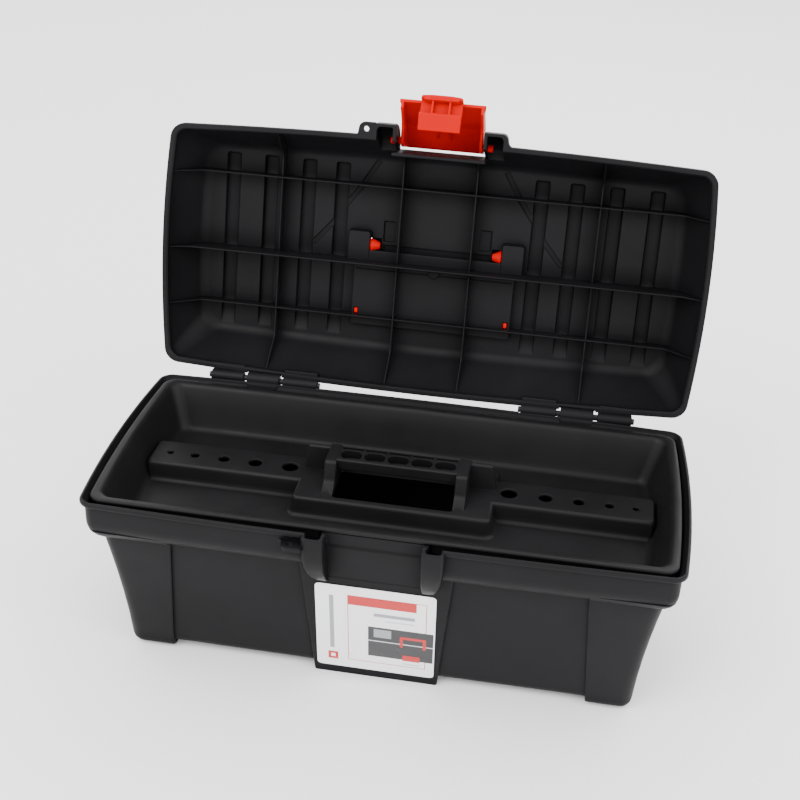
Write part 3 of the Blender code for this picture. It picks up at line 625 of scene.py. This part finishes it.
def lid_ear(side, grow=0.0):
    """A hood over one end of the latch; with a negative grow, the pocket inside it."""
    rings = []
    for z, front in (
        (LID_Z - (4.0 if grow else 0.0), -100.7), (143.0, -101.1), (147.0, -101.2), (151.0, -100.6),
        (154.5, -99.6), (158.0, -98.0), (161.0, -96.0), (163.6, -93.4),
        (165.8, -90.5), (167.4, -87.2), (168.8, -83.5), (169.6, -79.0),
    ):
        plan, _ = lid_plan(z)
        wall = -plan[2] - plan[5] * 0.95
        proud = max(min(wall - front, 8.0), 0.4)
        bend = min(4.6, proud * 0.5)
        front = front - grow
        if grow:
            corners = [
                (EAR_IN - grow, -78.0, 0.4), (EAR_IN - grow, front, min(1.2, proud * 0.3)),
                (48.0 + grow, front, min(3.2, proud * 0.4)), (48.0 + grow, -78.0, 0.4),
            ]
        else:
            corners = [
                (EAR_IN, -76.0, 0.3), (EAR_IN, front, min(1.0, proud * 0.3)), (48.0, front, bend),
                (50.2, wall + 0.2, min(4.0, proud * 0.5)), (60.0, wall + 1.0, 0.3), (60.0, -76.0, 0.3),
            ]
        rings.append([(side * x, y, z) for x, y in rounded(corners, 5)])
    return loft(rings[:-2] if grow else rings)


def flared(x, y, low, high, radius, mouth):
    """A cutter that opens out where it leaves the surface at low."""
    profile = [(mouth, low - 1.0), (mouth, low), (mouth * 0.3, low + mouth * 0.7), (0.0, low + mouth * 1.6)]
    profile += [(0.0, high - 0.6), (-0.5, high)]
    return pad(x, y, profile, radius)


def channels():
    parts = []
    for side in SIDES:
        for x in CHANNELS_X:
            parts.append(channel(pair((x - CHANNEL_HALF, x + CHANNEL_HALF), side)))
    return together(parts)


def channel(limits):
    """A deep slot whose rear end slopes up to the floor."""
    rings = []
    for grow, z, rise in (
        (0.5, 178.0, 0.0), (0.5, LID_FLOOR, 0.0), (0.0, 180.8, 1.5),
        (-0.1, 183.8, 12.0), (-0.6, 184.7, 18.0),
    ):
        x = (limits[0] - grow, limits[1] + grow)
        y = (CHANNEL_Y[0] - grow, CHANNEL_Y[1] + grow - rise)
        rings.append([(a, b, z) for a, b in rectangle(x, y, 1.4 + grow)])
    return loft(rings)


def outside_bars():
    parts = []
    profile = ((0.6, LID_TOP_Z - 1.2), (0.0, 183.4), (-0.4, 184.8), (-1.0, 185.6), (-1.9, 186.0))
    for side in SIDES:
        for x in CHANNELS_X:
            limits = pair((x - 8.0, x + 8.0), side)
            parts.append(pad(limits, (CHANNEL_Y[0] - 3.0, CHANNEL_Y[1] + 3.0), profile, 3.0))
    return together(parts)


def diagonal(side):
    """A shallow groove that runs outwards from the front of the lid's floor."""
    spine = ((48.0, -70.0), (60.6, -49.5), (69.0, -38.0), (80.6, -20.5), (95.5, -3.2))
    low = [(side * (x - 1.7), y + 1.2) for x, y in spine]
    high = [(side * (x + 1.7), y - 1.2) for x, y in spine]
    return prism(low + high[::-1], LID_FLOOR - 1.0, LID_FLOOR + 1.5, "Z", 0.2)


def pod(side):
    profile = [(-1.2, HOUSING_Z - 0.5), (-0.5, HOUSING_Z - 0.3), (0.0, HOUSING_Z + 0.4), (0.2, 178.0)]
    profile += [(0.6, 180.0), (0.6, 182.0)]
    return pad(pair((50.2, 67.0), side), (-17.0, 8.0), profile, 2.2)


def cone_hood(side):
    """A cover on the outside, over the handle's pivot cone."""
    profile = ((0.3, 180.9), (0.0, 182.0), (0.0, 184.4), (-0.4, 185.3), (-1.2, 185.8))
    return pad(pair((40.9, 49.45), side), (-13.6, 1.6), profile, 2.0)


def lid_arm(index):
    def make(side):
        low, high = pair(BARRELS[index], side)
        y = (89.6, HINGE.y)
        return box((low + 0.4, high - 0.4), y, (LID_Z + 0.4, 146.5), 0.7, top_y=(90.2, 91.9))
    return make


def make_lid(material):
    notch = (-EAR_IN, EAR_IN)

    def pivot_rods(x, radius, length):
        return both(lambda side: rod(radius, (side * x, HANDLE.y, HANDLE.z), length, edge=0))

    def floor_recess(side):
        return flared(pair((32.3, 41.2), side), (-25.0, -9.4), LID_FLOOR, 181.7, 0.8, 0.3)

    stub_hole = both(lambda side: rod(2.83, (side * 33.0, LATCH.y, LATCH.z), 6.0, edge=0))
    strip = [(-0.8, HOUSING_Z), (-0.2, HOUSING_Z + 0.3), (0.0, HOUSING_Z + 1.0), (0.0, 182.0)]
    plate = [(-0.8, HOUSING_Z + 1.8), (-0.2, HOUSING_Z + 2.1), (0.0, HOUSING_Z + 2.8), (0.0, 182.1)]
    steps = [
        (ADD, outside_bars()),
        (ADD, both(lid_ear)),
        (CUT, lid_inside()),
        (CUT, both(diagonal)),
        (CUT, both(floor_recess)),
        (ADD, box((-34.0, 34.0), (NOTCH_Y, NOTCH_Y + WALL), (LID_Z, 172.0), 0.7)),
        (ADD, pad((-61.5, 61.5), (-2.8, 56.0), plate, 1.6)),
        (ADD, pad((-61.6, 61.6), (-2.9, 9.5), strip, 1.2)),
        (ADD, both(pod)),
        (CUT, box((-59.8, 59.8), (11.6, 12.4), (HOUSING_Z, HOUSING_Z + 2.3), 0.0)),
        (ADD, lathe(((-0.8, 3.6), (-0.5, 4.3), (0.2, 4.6), (2.0, 4.6)), (0.0, 10.2, HOUSING_Z + 1.6), "Z")),
        (CUT, box((-42.0, 42.0), (-6.8, -1.4), (176.0, 181.9), 0.4)),
    ]
    long_ribs = [
        prism(rib_outline(y, True, crest), y - RIB / 2, y + RIB / 2, "Y", 0.35) for y, crest in LONG_RIBS
    ]
    cross_ribs = [
        prism(rib_outline(x, False, crest), *pair((x - RIB / 2, x + RIB / 2), side), "X", 0.35)
        for side in SIDES for x, crest in CROSS_RIBS
    ]
    steps += [
        (ADD, together(long_ribs)),
        (ADD, together(cross_ribs)),
        (CUT, channels()),
        (CUT, both(lambda side: lid_ear(side, -2.2))),
        (CUT, box(notch, (-120.0, NOTCH_Y), (LID_Z - 5.0, 200.0), 0.0)),
        (CUT, box((-60.0, 60.0), (37.0, 54.0), (177.0, 200.0), 0.8)),
        (CUT, box((-56.5, 56.5), (2.0, 38.0), (177.0, 200.0), 0.8)),
        (ADD, both(cone_hood)),
        (CUT, box_pair((50.1, 56.3), (-12.0, 3.0), (172.95, 200.0), 0.3)),
        (CUT, pivot_rods(46.3, 5.7, 8.0)),
        (CUT, box_pair((56.0, 59.6), (42.5, 47.5), (170.0, 180.0), 0.0)),
        (CUT, pivot_rods(58.0, BORE_R, 9.0)),
        (CUT, stub_hole),
        (ADD, padlock_eye((LID_Z + 0.1, 142.3), -46.6)),
        (CUT, eye_hole(141.0)),
        (CUT, bores(1, TUB_BARREL_R + 0.5, 2.4)),
    ]
    for index in (0, 2):
        steps += [
            (ADD, both(lid_arm(index))),
            (ADD, barrels(index, BARREL_R)),
            (CUT, bores(index, BORE_R, 2.9)),
        ]
    show("lid", carve(lid_outside(), steps), LID_TURN, "lid", ["lid_shell"], material)


# ---------------------------------------------------------------- tray


def tray_skin():
    """Floor, sloping wall, rounded rim and turned-down skirt, as one folded skin."""
    rows = (  # inset along X, z, inset along Y
        (20.5, 104.1, 21.5), (17.4, 104.1, 18.4), (15.6, 104.9, 16.5), (14.8, 107.0, 15.5),
        (11.0, 119.5, 11.4), (6.9, 134.0, 7.1), (6.3, 135.0, 6.5), (4.5, 135.2, 4.5),
        (4.5, 121.0, 4.5), (4.2, 120.8, 4.2), (2.8, 120.8, 2.8), (2.5, 121.2, 2.5),
        (2.4, 136.0, 2.4), (1.8, 136.7, 1.8), (0.5, 136.8, 0.5), (0.0, 137.2, 0.0),
        (0.0, 137.9, 0.0), (0.3, 138.6, 0.3), (0.9, 138.95, 0.9), (2.2, 139.0, 2.2),
        (4.4, 138.9, 4.4), (5.6, 138.4, 5.6), (6.6, 137.4, 6.6), (7.4, 135.6, 7.4),
        (9.0, 131.0, 9.2), (11.2, 124.0, 11.4), (13.1, 117.5, 13.4), (14.6, 112.5, 15.1),
        (15.6, 109.4, 16.3), (16.6, 107.5, 17.4), (18.2, 106.4, 19.1), (20.5, TRAY_FLOOR, 21.5),
    )
    rings = []
    for inset_x, z, inset_y in rows:
        rim_x, rim_y = TRAY_RIM
        half_y = rim_y - inset_y
        plan = (rim_x - inset_x, half_y, half_y, 3.4, 0.3, 0.3)
        radius = 9.0 - inset_x * 0.1
        rings.append(outline(plan, radius, z))
    return loft(rings)


RAISED = (  # (grow, z) up the side of the tray's block and bars
    (3.2, TRAY_FLOOR - 0.6), (2.6, TRAY_FLOOR + 0.1), (1.2, 106.9), (0.5, 108.2), (0.0, 110.0),
    (-0.9, 116.6), (-1.4, 118.2), (-2.2, 119.1), (-3.2, BLOCK_TOP),
)


def drill_bar():
    """The long raised bar, whose ends run into the tray's sloping end walls without passing through."""
    rings = []
    for grow, z in RAISED:
        end = min(BAR_END + BAR_LEAN * (z - RAISED[0][1]), BAR_END_MAX) + min(grow, 0.0)
        y = (BAR_Y[0] - grow, BAR_Y[1] + grow)
        rings.append([(a, b, z) for a, b in rectangle((-end, end), y, 3.0)])
    return loft(rings)


def under_raised(x, y):
    low, high = TRAY_FLOOR - 5.0, BLOCK_TOP - TRAY_WALL
    return pad(x, y, ((-TRAY_WALL, low), (-TRAY_WALL, 110.0), (-3.6, high)), 4.0)


def cheek(side, grow=0.0):
    """The wall at one end of the grip bar; with a negative grow, the hollow in it."""
    points = rounded(
        [
            (-19.0, 118.0, 0), (-9.0, 125.0, 6.0), (-4.6, 138.8, 2.6),
            (20.6, 138.8, 2.6), (23.6, 118.0, 0),
        ]
    )
    if grow:
        points = [(1.1 + y * 0.84, z + grow) for y, z in points]
    limits = (GRIP_X + 1.8, GRIP_X + 6.0) if grow else (GRIP_X - 0.4, GRIP_X + 8.0)
    return prism(points, *pair(limits, side), "X", 0.2 if grow else 1.2)


def wing(side):
    """A low wall that runs out from the rear of each cheek."""
    foot, top = pair((47.2, 68.5), side), pair((47.2, 65.4), side)
    return box(foot, (13.2, 20.6), (118.2, 137.8), 1.5, top_x=top, top_y=(15.4, 19.0))


def drill_holes():
    parts = []
    for side in SIDES:
        for x, diameter in DRILL_HOLES:
            r = diameter / 2
            rows = ((-6.0, r), (-0.7, r), (-0.2, r + 0.2), (0.1, r + 0.6), (2.0, r + 0.6))
            parts.append(lathe(rows, (side * x, HOLE_Y, BLOCK_TOP), "Z", 28))
    return together(parts)


def grip_cut(half, y, bottom, radius, mouth):
    top = GRIP_BAR_Z[1]
    profile = [(-0.5, bottom), (0.0, bottom + 0.6), (0.0, top - mouth)]
    profile += [(mouth * 0.3, top - mouth * 0.3), (mouth, top + 0.05), (mouth, top + 4.0)]
    steps = [i * POCKET_STEP for i in range(-2, 3)]
    return together([pad((x - half, x + half), y, profile, radius) for x in steps])


def make_tray(material):
    rim = GRIP_BAR_Z
    bar = [(-1.0, rim[0]), (-0.3, rim[0] + 0.3), (0.0, rim[0] + 1.0), (0.0, rim[1] - 1.2)]
    bar += [(-0.4, rim[1] - 0.4), (-1.2, rim[1])]
    opening = [(0.0, 96.0), (0.0, 117.6), (0.4, 118.7), (1.2, 119.3), (2.2, 119.6), (2.2, 124.5)]
    steps = [
        (ADD, drill_bar()),
        (ADD, pad(BLOCK_X, BLOCK_Y, RAISED, 5.0)),
        (CUT, pad((-GRIP_X + 0.3, GRIP_X - 0.3), (-18.0, 17.0), opening, 2.4)),
        (ADD, both(cheek)),
        (CUT, under_raised(BLOCK_X, BLOCK_Y)),
        (CUT, both(lambda side: under_raised(pair((66.0, 174.0), side), BAR_Y))),
        (CUT, both(lambda side: cheek(side, -2.0))),
        (ADD, both(wing)),
        (ADD, pad((-GRIP_X - 1.0, GRIP_X + 1.0), GRIP_BAR_Y, bar, 1.4)),
        (CUT, drill_holes()),
        (CUT, grip_cut(7.45, (1.4, 12.2), 132.3, 4.9, 0.3)),
        (CUT, grip_cut(7.45, (13.7, 16.3), 128.0, 0.5, 0.2)),
        (CUT, box((-36.5, 36.5), (-84.0, -80.2), (115.0, 136.6), 0.0)),
    ]
    mesh = carve(tray_skin(), steps)
    show("tray", mesh, Matrix.Identity(4), "tray", ["lift_out_tray"], material)


# ---------------------------------------------------------------- latch, handle, pins


def make_latch(material):
    def at(points):
        return [(LATCH.y + y, LATCH.z + z) for y, z in points]

    outer = [(-19.2, -28.4), (-19.45, -20.0), (-19.4, -12.0), (-19.2, -5.0), (-18.7, 0.8), (-17.6, 5.6)]
    outer += [(-15.6, 10.4), (-12.6, 14.6), (-9.0, 17.9), (-4.4, 20.6)]
    inner = [(-5.2, 18.2), (-10.4, 11.4), (-15.0, 4.8), (-15.8, 3.6), (-16.4, 1.0)]
    inner += [(-16.8, -2.4), (-17.1, -7.0), (-17.2, -20.0), (-17.0, -28.4)]
    cheek_points = outer + [(-3.5, 17.3), (0.6, 9.6), (3.0, 4.0), (4.0, 0.0), (2.8, -4.0)]
    cheek_points += [(-1.6, -7.4), (-6.0, -10.0), (-9.0, -15.0), (-12.2, -28.4)]
    arch = [(15.0, -25.0, 0), (15.0, -37.4, 2.4), (7.0, -38.9, 5.0)]
    arch += [(-x, z, r) for x, z, r in reversed(arch)]
    tab = [(x, LATCH.z + z) for x, z in rounded(arch, 5)]
    lip = [(-18.9, -30.0, 0), (-18.9, -38.2, 1.2), (-15.4, -38.7, 0.8), (-16.4, -30.0, 0)]
    hook = [(-18.0, -30.4, 0), (5.0, -30.4, 0), (5.2, -31.9, 0), (-4.6, -38.1, 0.6)]
    hook += [(-6.4, -36.6, 0), (0.6, -32.5, 0), (-18.0, -32.3, 0)]
    web = [(-17.8, -31.2), (-0.6, -31.7), (-6.0, -36.7), (-17.8, -37.0)]
    ridge = [(-12.4, 13.6), (-9.6, 12.0), (-14.6, -3.0), (-17.8, -3.0), (-16.8, 6.4)]

    def flare(x, z):
        """x on a plate that widens downwards."""
        reach = max(0.0, min(1.0, (LATCH.z - 6.0 - z) / 22.0))
        return x * (0.985 + 0.053 * reach * reach)

    steps = [
        (ADD, both(lambda side: prism(at(cheek_points), *pair((27.7, 29.9), side), "X", 0.5))),
        (ADD, both(lambda side: rod(2.7, (side * 33.0, LATCH.y, LATCH.z), 9.0))),
        (ADD, prism(tab, LATCH.y - 19.3, LATCH.y - 16.9, "Y", 0.6)),
        (ADD, prism(at(rounded(lip)), -12.6, 12.6, "X", 0.5)),
        (ADD, prism(at(rounded(hook)), -15.0, 15.0, "X", 0.4)),
        (ADD, both(lambda side: prism(at(web), *pair((5.4, 6.9), side), "X", 0.3))),
        (ADD, both(lambda side: prism(at(ridge), *pair((4.2, 5.6), side), "X", 0.2))),
    ]
    plate = prism(at(outer + inner), -30.0, 30.0, "X", 0.6)
    for vert in plate.verts:
        vert.co.x = flare(vert.co.x, vert.co.z)
    mesh = carve(plate, steps)
    show("latch", mesh, LATCH_TURN, "latch", ["front_latch"], material)


def make_handle(material):
    top = 184.6
    low, high = GRIP_Y
    grip = [
        (low, 177.8, 1.6), (high, 177.8, 1.6), (high, top - 0.8, 1.2),
        (high - 2.6, top + 1.0, 1.6), (low + 2.6, top + 1.0, 1.6), (low, top - 0.8, 1.2),
    ]
    arm = [(HANDLE.y, 177.6, 0), (low + 2.0, 178.0, 0)]
    arm += [(low + 2.0, top - 0.4, 0), (HANDLE.y, top - 0.4, 1.6)]
    lug = ((0.0, 4.3), (0.9, 4.5), (1.3, 5.4), (7.6, 2.6), (8.0, 2.2))
    steps = []
    for side in SIDES:
        start = (side * 50.9, HANDLE.y, HANDLE.z)
        steps += [
            (ADD, prism(rounded(arm), *pair((50.4, 56.0), side), "X", 0.6)),
            (ADD, rod(5.25, (side * 53.2, HANDLE.y, HANDLE.z), 5.5)),
            (ADD, rod(PIN_R, (side * 57.5, HANDLE.y, HANDLE.z), 5.0)),
            (ADD, lathe([(-side * along, radius) for along, radius in lug], start)),
            (ADD, box(pair((56.4, GRIP_HALF_X - 0.25), side), (43.0, 47.0), (173.8, 179.0), 0.7)),
        ]
    mesh = carve(prism(rounded(grip, 5), -GRIP_HALF_X, GRIP_HALF_X, "X", 0.8), steps)
    show("handle", mesh, LID_TURN, "handle", ["carry_handle"], material)


def make_pin(side, material):
    name = "right" if side > 0 else "left"
    node = f"hinge_pin_{name}"
    low, high = (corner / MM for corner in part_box(node))
    centre = (low + high) / 2
    pin = bpy.data.meshes.new(node)
    bm = rod(PIN_R, centre, high.x - low.x, edge=0.5)
    bm.to_mesh(pin)
    bm.free()
    show(f"pin_{name}", pin, Matrix.Identity(4), f"{name}_pin", [node], material)


# ---------------------------------------------------------------- materials


class Nodes:
    """A material's node tree, built a node at a time."""

    def __init__(self, name):
        self.material = bpy.data.materials.new(name)
        self.material.use_nodes = True
        self.tree = self.material.node_tree
        self.shader = self.tree.nodes["Principled BSDF"]

    def add(self, kind, links=None, **settings):
        node = self.tree.nodes.new(kind)
        for key, value in settings.items():
            setattr(node, key, value)
        for socket, value in (links or {}).items():
            self.feed(node, socket, value)
        return node

    def feed(self, node, socket, value):
        if isinstance(value, bpy.types.NodeSocket):
            self.tree.links.new(value, node.inputs[socket])
        else:
            node.inputs[socket].default_value = value

    def math(self, operation, *values):
        node = self.add("ShaderNodeMath", operation=operation)
        for i, value in enumerate(values):
            self.feed(node, i, value)
        return node.outputs[0]

    def noise(self, where, scale, detail, roughness=0.5):
        links = {"Vector": where, "Scale": scale, "Detail": detail, "Roughness": roughness}
        return self.add("ShaderNodeTexNoise", links).outputs["Fac"]

    def ramp(self, value, low, high, dark, light):
        node = self.add("ShaderNodeMapRange", {0: value, 1: low, 2: high, 3: dark, 4: light})
        return node.outputs[0]

    def mix(self, share, first, second):
        node = self.add("ShaderNodeMix", data_type="RGBA")
        self.feed(node, 0, share)
        self.feed(node, 6, first)
        self.feed(node, 7, second)
        return node.outputs[2]


def moulded(
    name, colour, roughness, grain_mm, grain_height, shade=0.25, scuffs=0.5, recess_shade_power=1.3, shine=0.4
):
    """Moulded plastic: a spark-eroded grain, slow colour and gloss changes, faint handling marks, and
    painted shade that dims the reflection in recesses.
    """
    made = Nodes(name)
    where = made.add("ShaderNodeTexCoord").outputs["Object"]
    cells = made.add("ShaderNodeTexVoronoi", {"Vector": where, "Scale": 1.0 / (grain_mm * MM)})
    grain = made.noise(where, 0.6 / (grain_mm * MM), 4.0, 0.6)
    slow = made.noise(where, 9.0, 4.0)
    flow = made.noise(where, 38.0, 5.0, 0.62)
    stretched = made.add("ShaderNodeMapping", {"Vector": where, "Scale": (1.0, 9.0, 4.0)}).outputs[0]
    marks = made.ramp(made.noise(stretched, 60.0, 6.0, 0.7), 0.60, 0.72, 0.0, scuffs)
    deep = tuple(c * (1 - shade) for c in colour)
    light = tuple(c * (1 + shade) for c in colour)
    base = made.mix(made.ramp(slow, 0.3, 0.7, 0.0, 1.0), (*deep, 1.0), (*light, 1.0))
    worn = tuple(c * 1.6 + 0.001 for c in colour)
    # Painted shade: an occlusion mask, raised to a power, dims the reflection in recesses, corners and
    # creases, where shade falls.
    recess_shade = made.add("ShaderNodeAmbientOcclusion", {"Distance": 16.0 * MM}, samples=6).outputs["AO"]
    recess_shade = made.math("POWER", recess_shade, recess_shade_power)
    made.feed(made.shader, "Specular IOR Level", made.math("MULTIPLY", recess_shade, shine))
    made.feed(made.shader, "Base Color", made.mix(made.math("MULTIPLY", marks, 0.5), base, (*worn, 1.0)))
    gloss = made.ramp(flow, 0.3, 0.7, roughness - 0.06, roughness + 0.07)
    gloss = made.math("ADD", gloss, made.math("MULTIPLY", marks, -0.08))
    made.feed(made.shader, "Roughness", made.math("ADD", gloss, made.ramp(grain, 0.3, 0.7, -0.03, 0.03)))
    made.shader.inputs["IOR"].default_value = 1.46
    height = made.math("ADD", made.math("MULTIPLY", cells.outputs["Distance"], 0.6), grain)
    height = made.math("ADD", height, made.math("MULTIPLY", flow, 0.5))
    soft = made.add("ShaderNodeBevel", {"Radius": 0.7 * MM}, samples=4).outputs[0]
    relief = {"Height": height, "Strength": 0.55, "Distance": grain_height * MM, "Normal": soft}
    bump = made.add("ShaderNodeBump", relief)
    made.feed(made.shader, "Normal", bump.outputs[0])
    return made.material


def printed_film(name):
    """White film with a generic print: plain bars, a thin frame, and a picture of a shut box."""
    made = Nodes(name)
    low, high = (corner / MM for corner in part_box("front_label"))
    where = made.add("ShaderNodeTexCoord").outputs["Object"]
    split = made.add("ShaderNodeSeparateXYZ", {"Vector": where})
    x, z = (made.math("DIVIDE", split.outputs[axis], MM) for axis in (0, 2))
    rise = (high.z - low.z) / 80.5

    def patch(left, right, top, bottom):
        """A rectangle, measured in millimetres from the label's left and top edges."""
        across = made.math("COMPARE", x, low.x + (left + right) / 2, (right - left) / 2)
        down = made.math("COMPARE", z, high.z - rise * (top + bottom) / 2, rise * (bottom - top) / 2)
        return made.math("MULTIPLY", across, down)

    def without(shape, hole):
        return made.math("SUBTRACT", shape, made.math("MINIMUM", shape, hole))

    paper = made.noise(where, 900.0, 3.0)
    cloudy = made.ramp(paper, 0.3, 0.7, 0.0, 1.0)
    white = made.mix(cloudy, (0.80, 0.80, 0.81, 1.0), (0.88, 0.88, 0.88, 1.0))
    red, grey, dark = (0.46, 0.003, 0.004, 1.0), (0.26, 0.27, 0.29, 1.0), (0.016, 0.016, 0.018, 1.0)
    faint = (0.55, 0.56, 0.58, 1.0)
    layers = (
        (patch(9.5, 12.5, 10.0, 62.0), grey),
        (patch(8.0, 15.0, 66.0, 73.5), red),
        (patch(10.0, 13.0, 68.2, 71.3), white),
        (without(patch(22.0, 76.0, 8.0, 72.5), patch(22.5, 75.5, 8.5, 72.0)), red),
        (patch(22.0, 69.0, 8.0, 17.0), red),
        (patch(40.0, 68.0, 22.5, 25.6), grey),
        (patch(48.0, 68.0, 28.6, 30.0), faint),
        (patch(36.0, 81.0, 36.0, 65.5), dark),
        (patch(36.0, 81.0, 49.5, 50.3), faint),
        (patch(40.0, 52.0, 38.0, 46.0), grey),
        (without(patch(58.0, 76.0, 42.5, 53.0), patch(60.2, 73.8, 44.8, 54.0)), red),
        (patch(60.0, 72.0, 61.0, 66.5), red),
        (patch(60.0, 72.0, 69.0, 70.4), faint),
    )
    colour = white
    for shape, paint in layers:
        colour = made.mix(shape, colour, paint)
    made.feed(made.shader, "Base Color", colour)
    made.feed(made.shader, "Roughness", made.ramp(made.noise(where, 55.0, 4.0), 0.3, 0.7, 0.26, 0.36))
    waves = made.noise(where, 28.0, 3.0)
    bump = made.add("ShaderNodeBump", {"Height": waves, "Strength": 0.12, "Distance": 0.6 * MM})
    made.feed(made.shader, "Normal", bump.outputs[0])
    made.shader.inputs["Coat Weight"].default_value = 0.25
    made.shader.inputs["Coat Roughness"].default_value = 0.12
    return made.material


def dress(node, material):
    obj = frame["nodes"][node]
    obj.data.materials.clear()
    obj.data.materials.append(material)


# ---------------------------------------------------------------- stage


def make_floor():
    mesh = bpy.data.meshes.new("floor")
    half = 8.0
    corners = [(-half, -half, 0), (half, -half, 0), (half, half, 0), (-half, half, 0)]
    mesh.from_pydata(corners, [], [(0, 1, 2, 3)])
    made = Nodes("floor")
    made.shader.inputs["Base Color"].default_value = (0.93, 0.93, 0.93, 1.0)
    made.shader.inputs["Roughness"].default_value = 0.9
    made.shader.inputs["Specular IOR Level"].default_value = 0.1
    mesh.materials.append(made.material)
    floor = bpy.data.objects.new("floor", mesh)
    bpy.context.scene.collection.objects.link(floor)


def make_light(name, place, size, power):
    light = bpy.data.lights.new(name, "AREA")
    light.size = size
    light.energy = power
    obj = bpy.data.objects.new(name, light)
    bpy.context.scene.collection.objects.link(obj)
    obj.location = place
    obj.rotation_euler = (Vector(LIGHTS_FACE) - Vector(place)).to_track_quat("-Z", "Y").to_euler()


def make_world():
    world = bpy.data.worlds.new("studio")
    bpy.context.scene.world = world
    world.use_nodes = True
    background = world.node_tree.nodes["Background"]
    background.inputs["Color"].default_value = (1.0, 1.0, 1.0, 1.0)
    background.inputs["Strength"].default_value = 2.4


def make_camera():
    """The view: azimuth and elevation of the line of sight, and a slight roll."""
    azimuth, elevation, roll = (math.radians(angle) for angle in VIEW)
    level = math.cos(elevation)
    forward = Vector((-math.sin(azimuth) * level, math.cos(azimuth) * level, -math.sin(elevation)))
    right = Vector((math.cos(azimuth), math.sin(azimuth), 0.0))
    up = right.cross(forward)
    rolled_right = right * math.cos(roll) + up * math.sin(roll)
    rolled_up = up * math.cos(roll) - right * math.sin(roll)
    turn = Matrix((rolled_right, rolled_up, -forward)).transposed().to_4x4()
    data = bpy.data.cameras.new("camera")
    data.sensor_width = 36.0
    data.lens = LENS
    data.clip_start = 0.01
    camera = bpy.data.objects.new("camera", data)
    camera.matrix_world = Matrix.Translation(Vector(CAMERA_PLACE) * MM) @ turn
    bpy.context.scene.collection.objects.link(camera)
    bpy.context.scene.camera = camera


def build():
    # The power given with each material sets how strongly its painted recess shade dims the reflection.
    black = moulded(
        "black_plastic", (0.0060, 0.0058, 0.0066), 0.46, 0.55, 0.05, recess_shade_power=1.1, shine=0.12
    )
    tray_black = moulded(
        "tray_plastic", (0.0064, 0.0062, 0.0068), 0.44, 0.40, 0.03, recess_shade_power=0.9, shine=0.15
    )
    red = moulded(
        "red_plastic", (0.46, 0.0, 0.0), 0.42, 0.35, 0.012,
        shade=0.05, scuffs=0.1, recess_shade_power=0.6, shine=0.05,
    )
    pin_black = moulded("pin_plastic", (0.012, 0.012, 0.013), 0.34, 0.3, 0.01)
    make_tub(black)
    make_lid(black)
    make_tray(tray_black)
    make_latch(red)
    make_handle(red)
    for side in SIDES:
        make_pin(side, pin_black)
    dress("front_label", printed_film("label_print"))
    make_floor()
    make_world()
    make_light("key", (-0.9, -1.3, 1.8), 1.2, 34.0)
    make_light("fill", (1.5, -0.7, 1.3), 1.3, 16.0)
    make_light("back", (0.2, 1.4, 1.5), 1.4, 12.0)
    make_camera()


build()
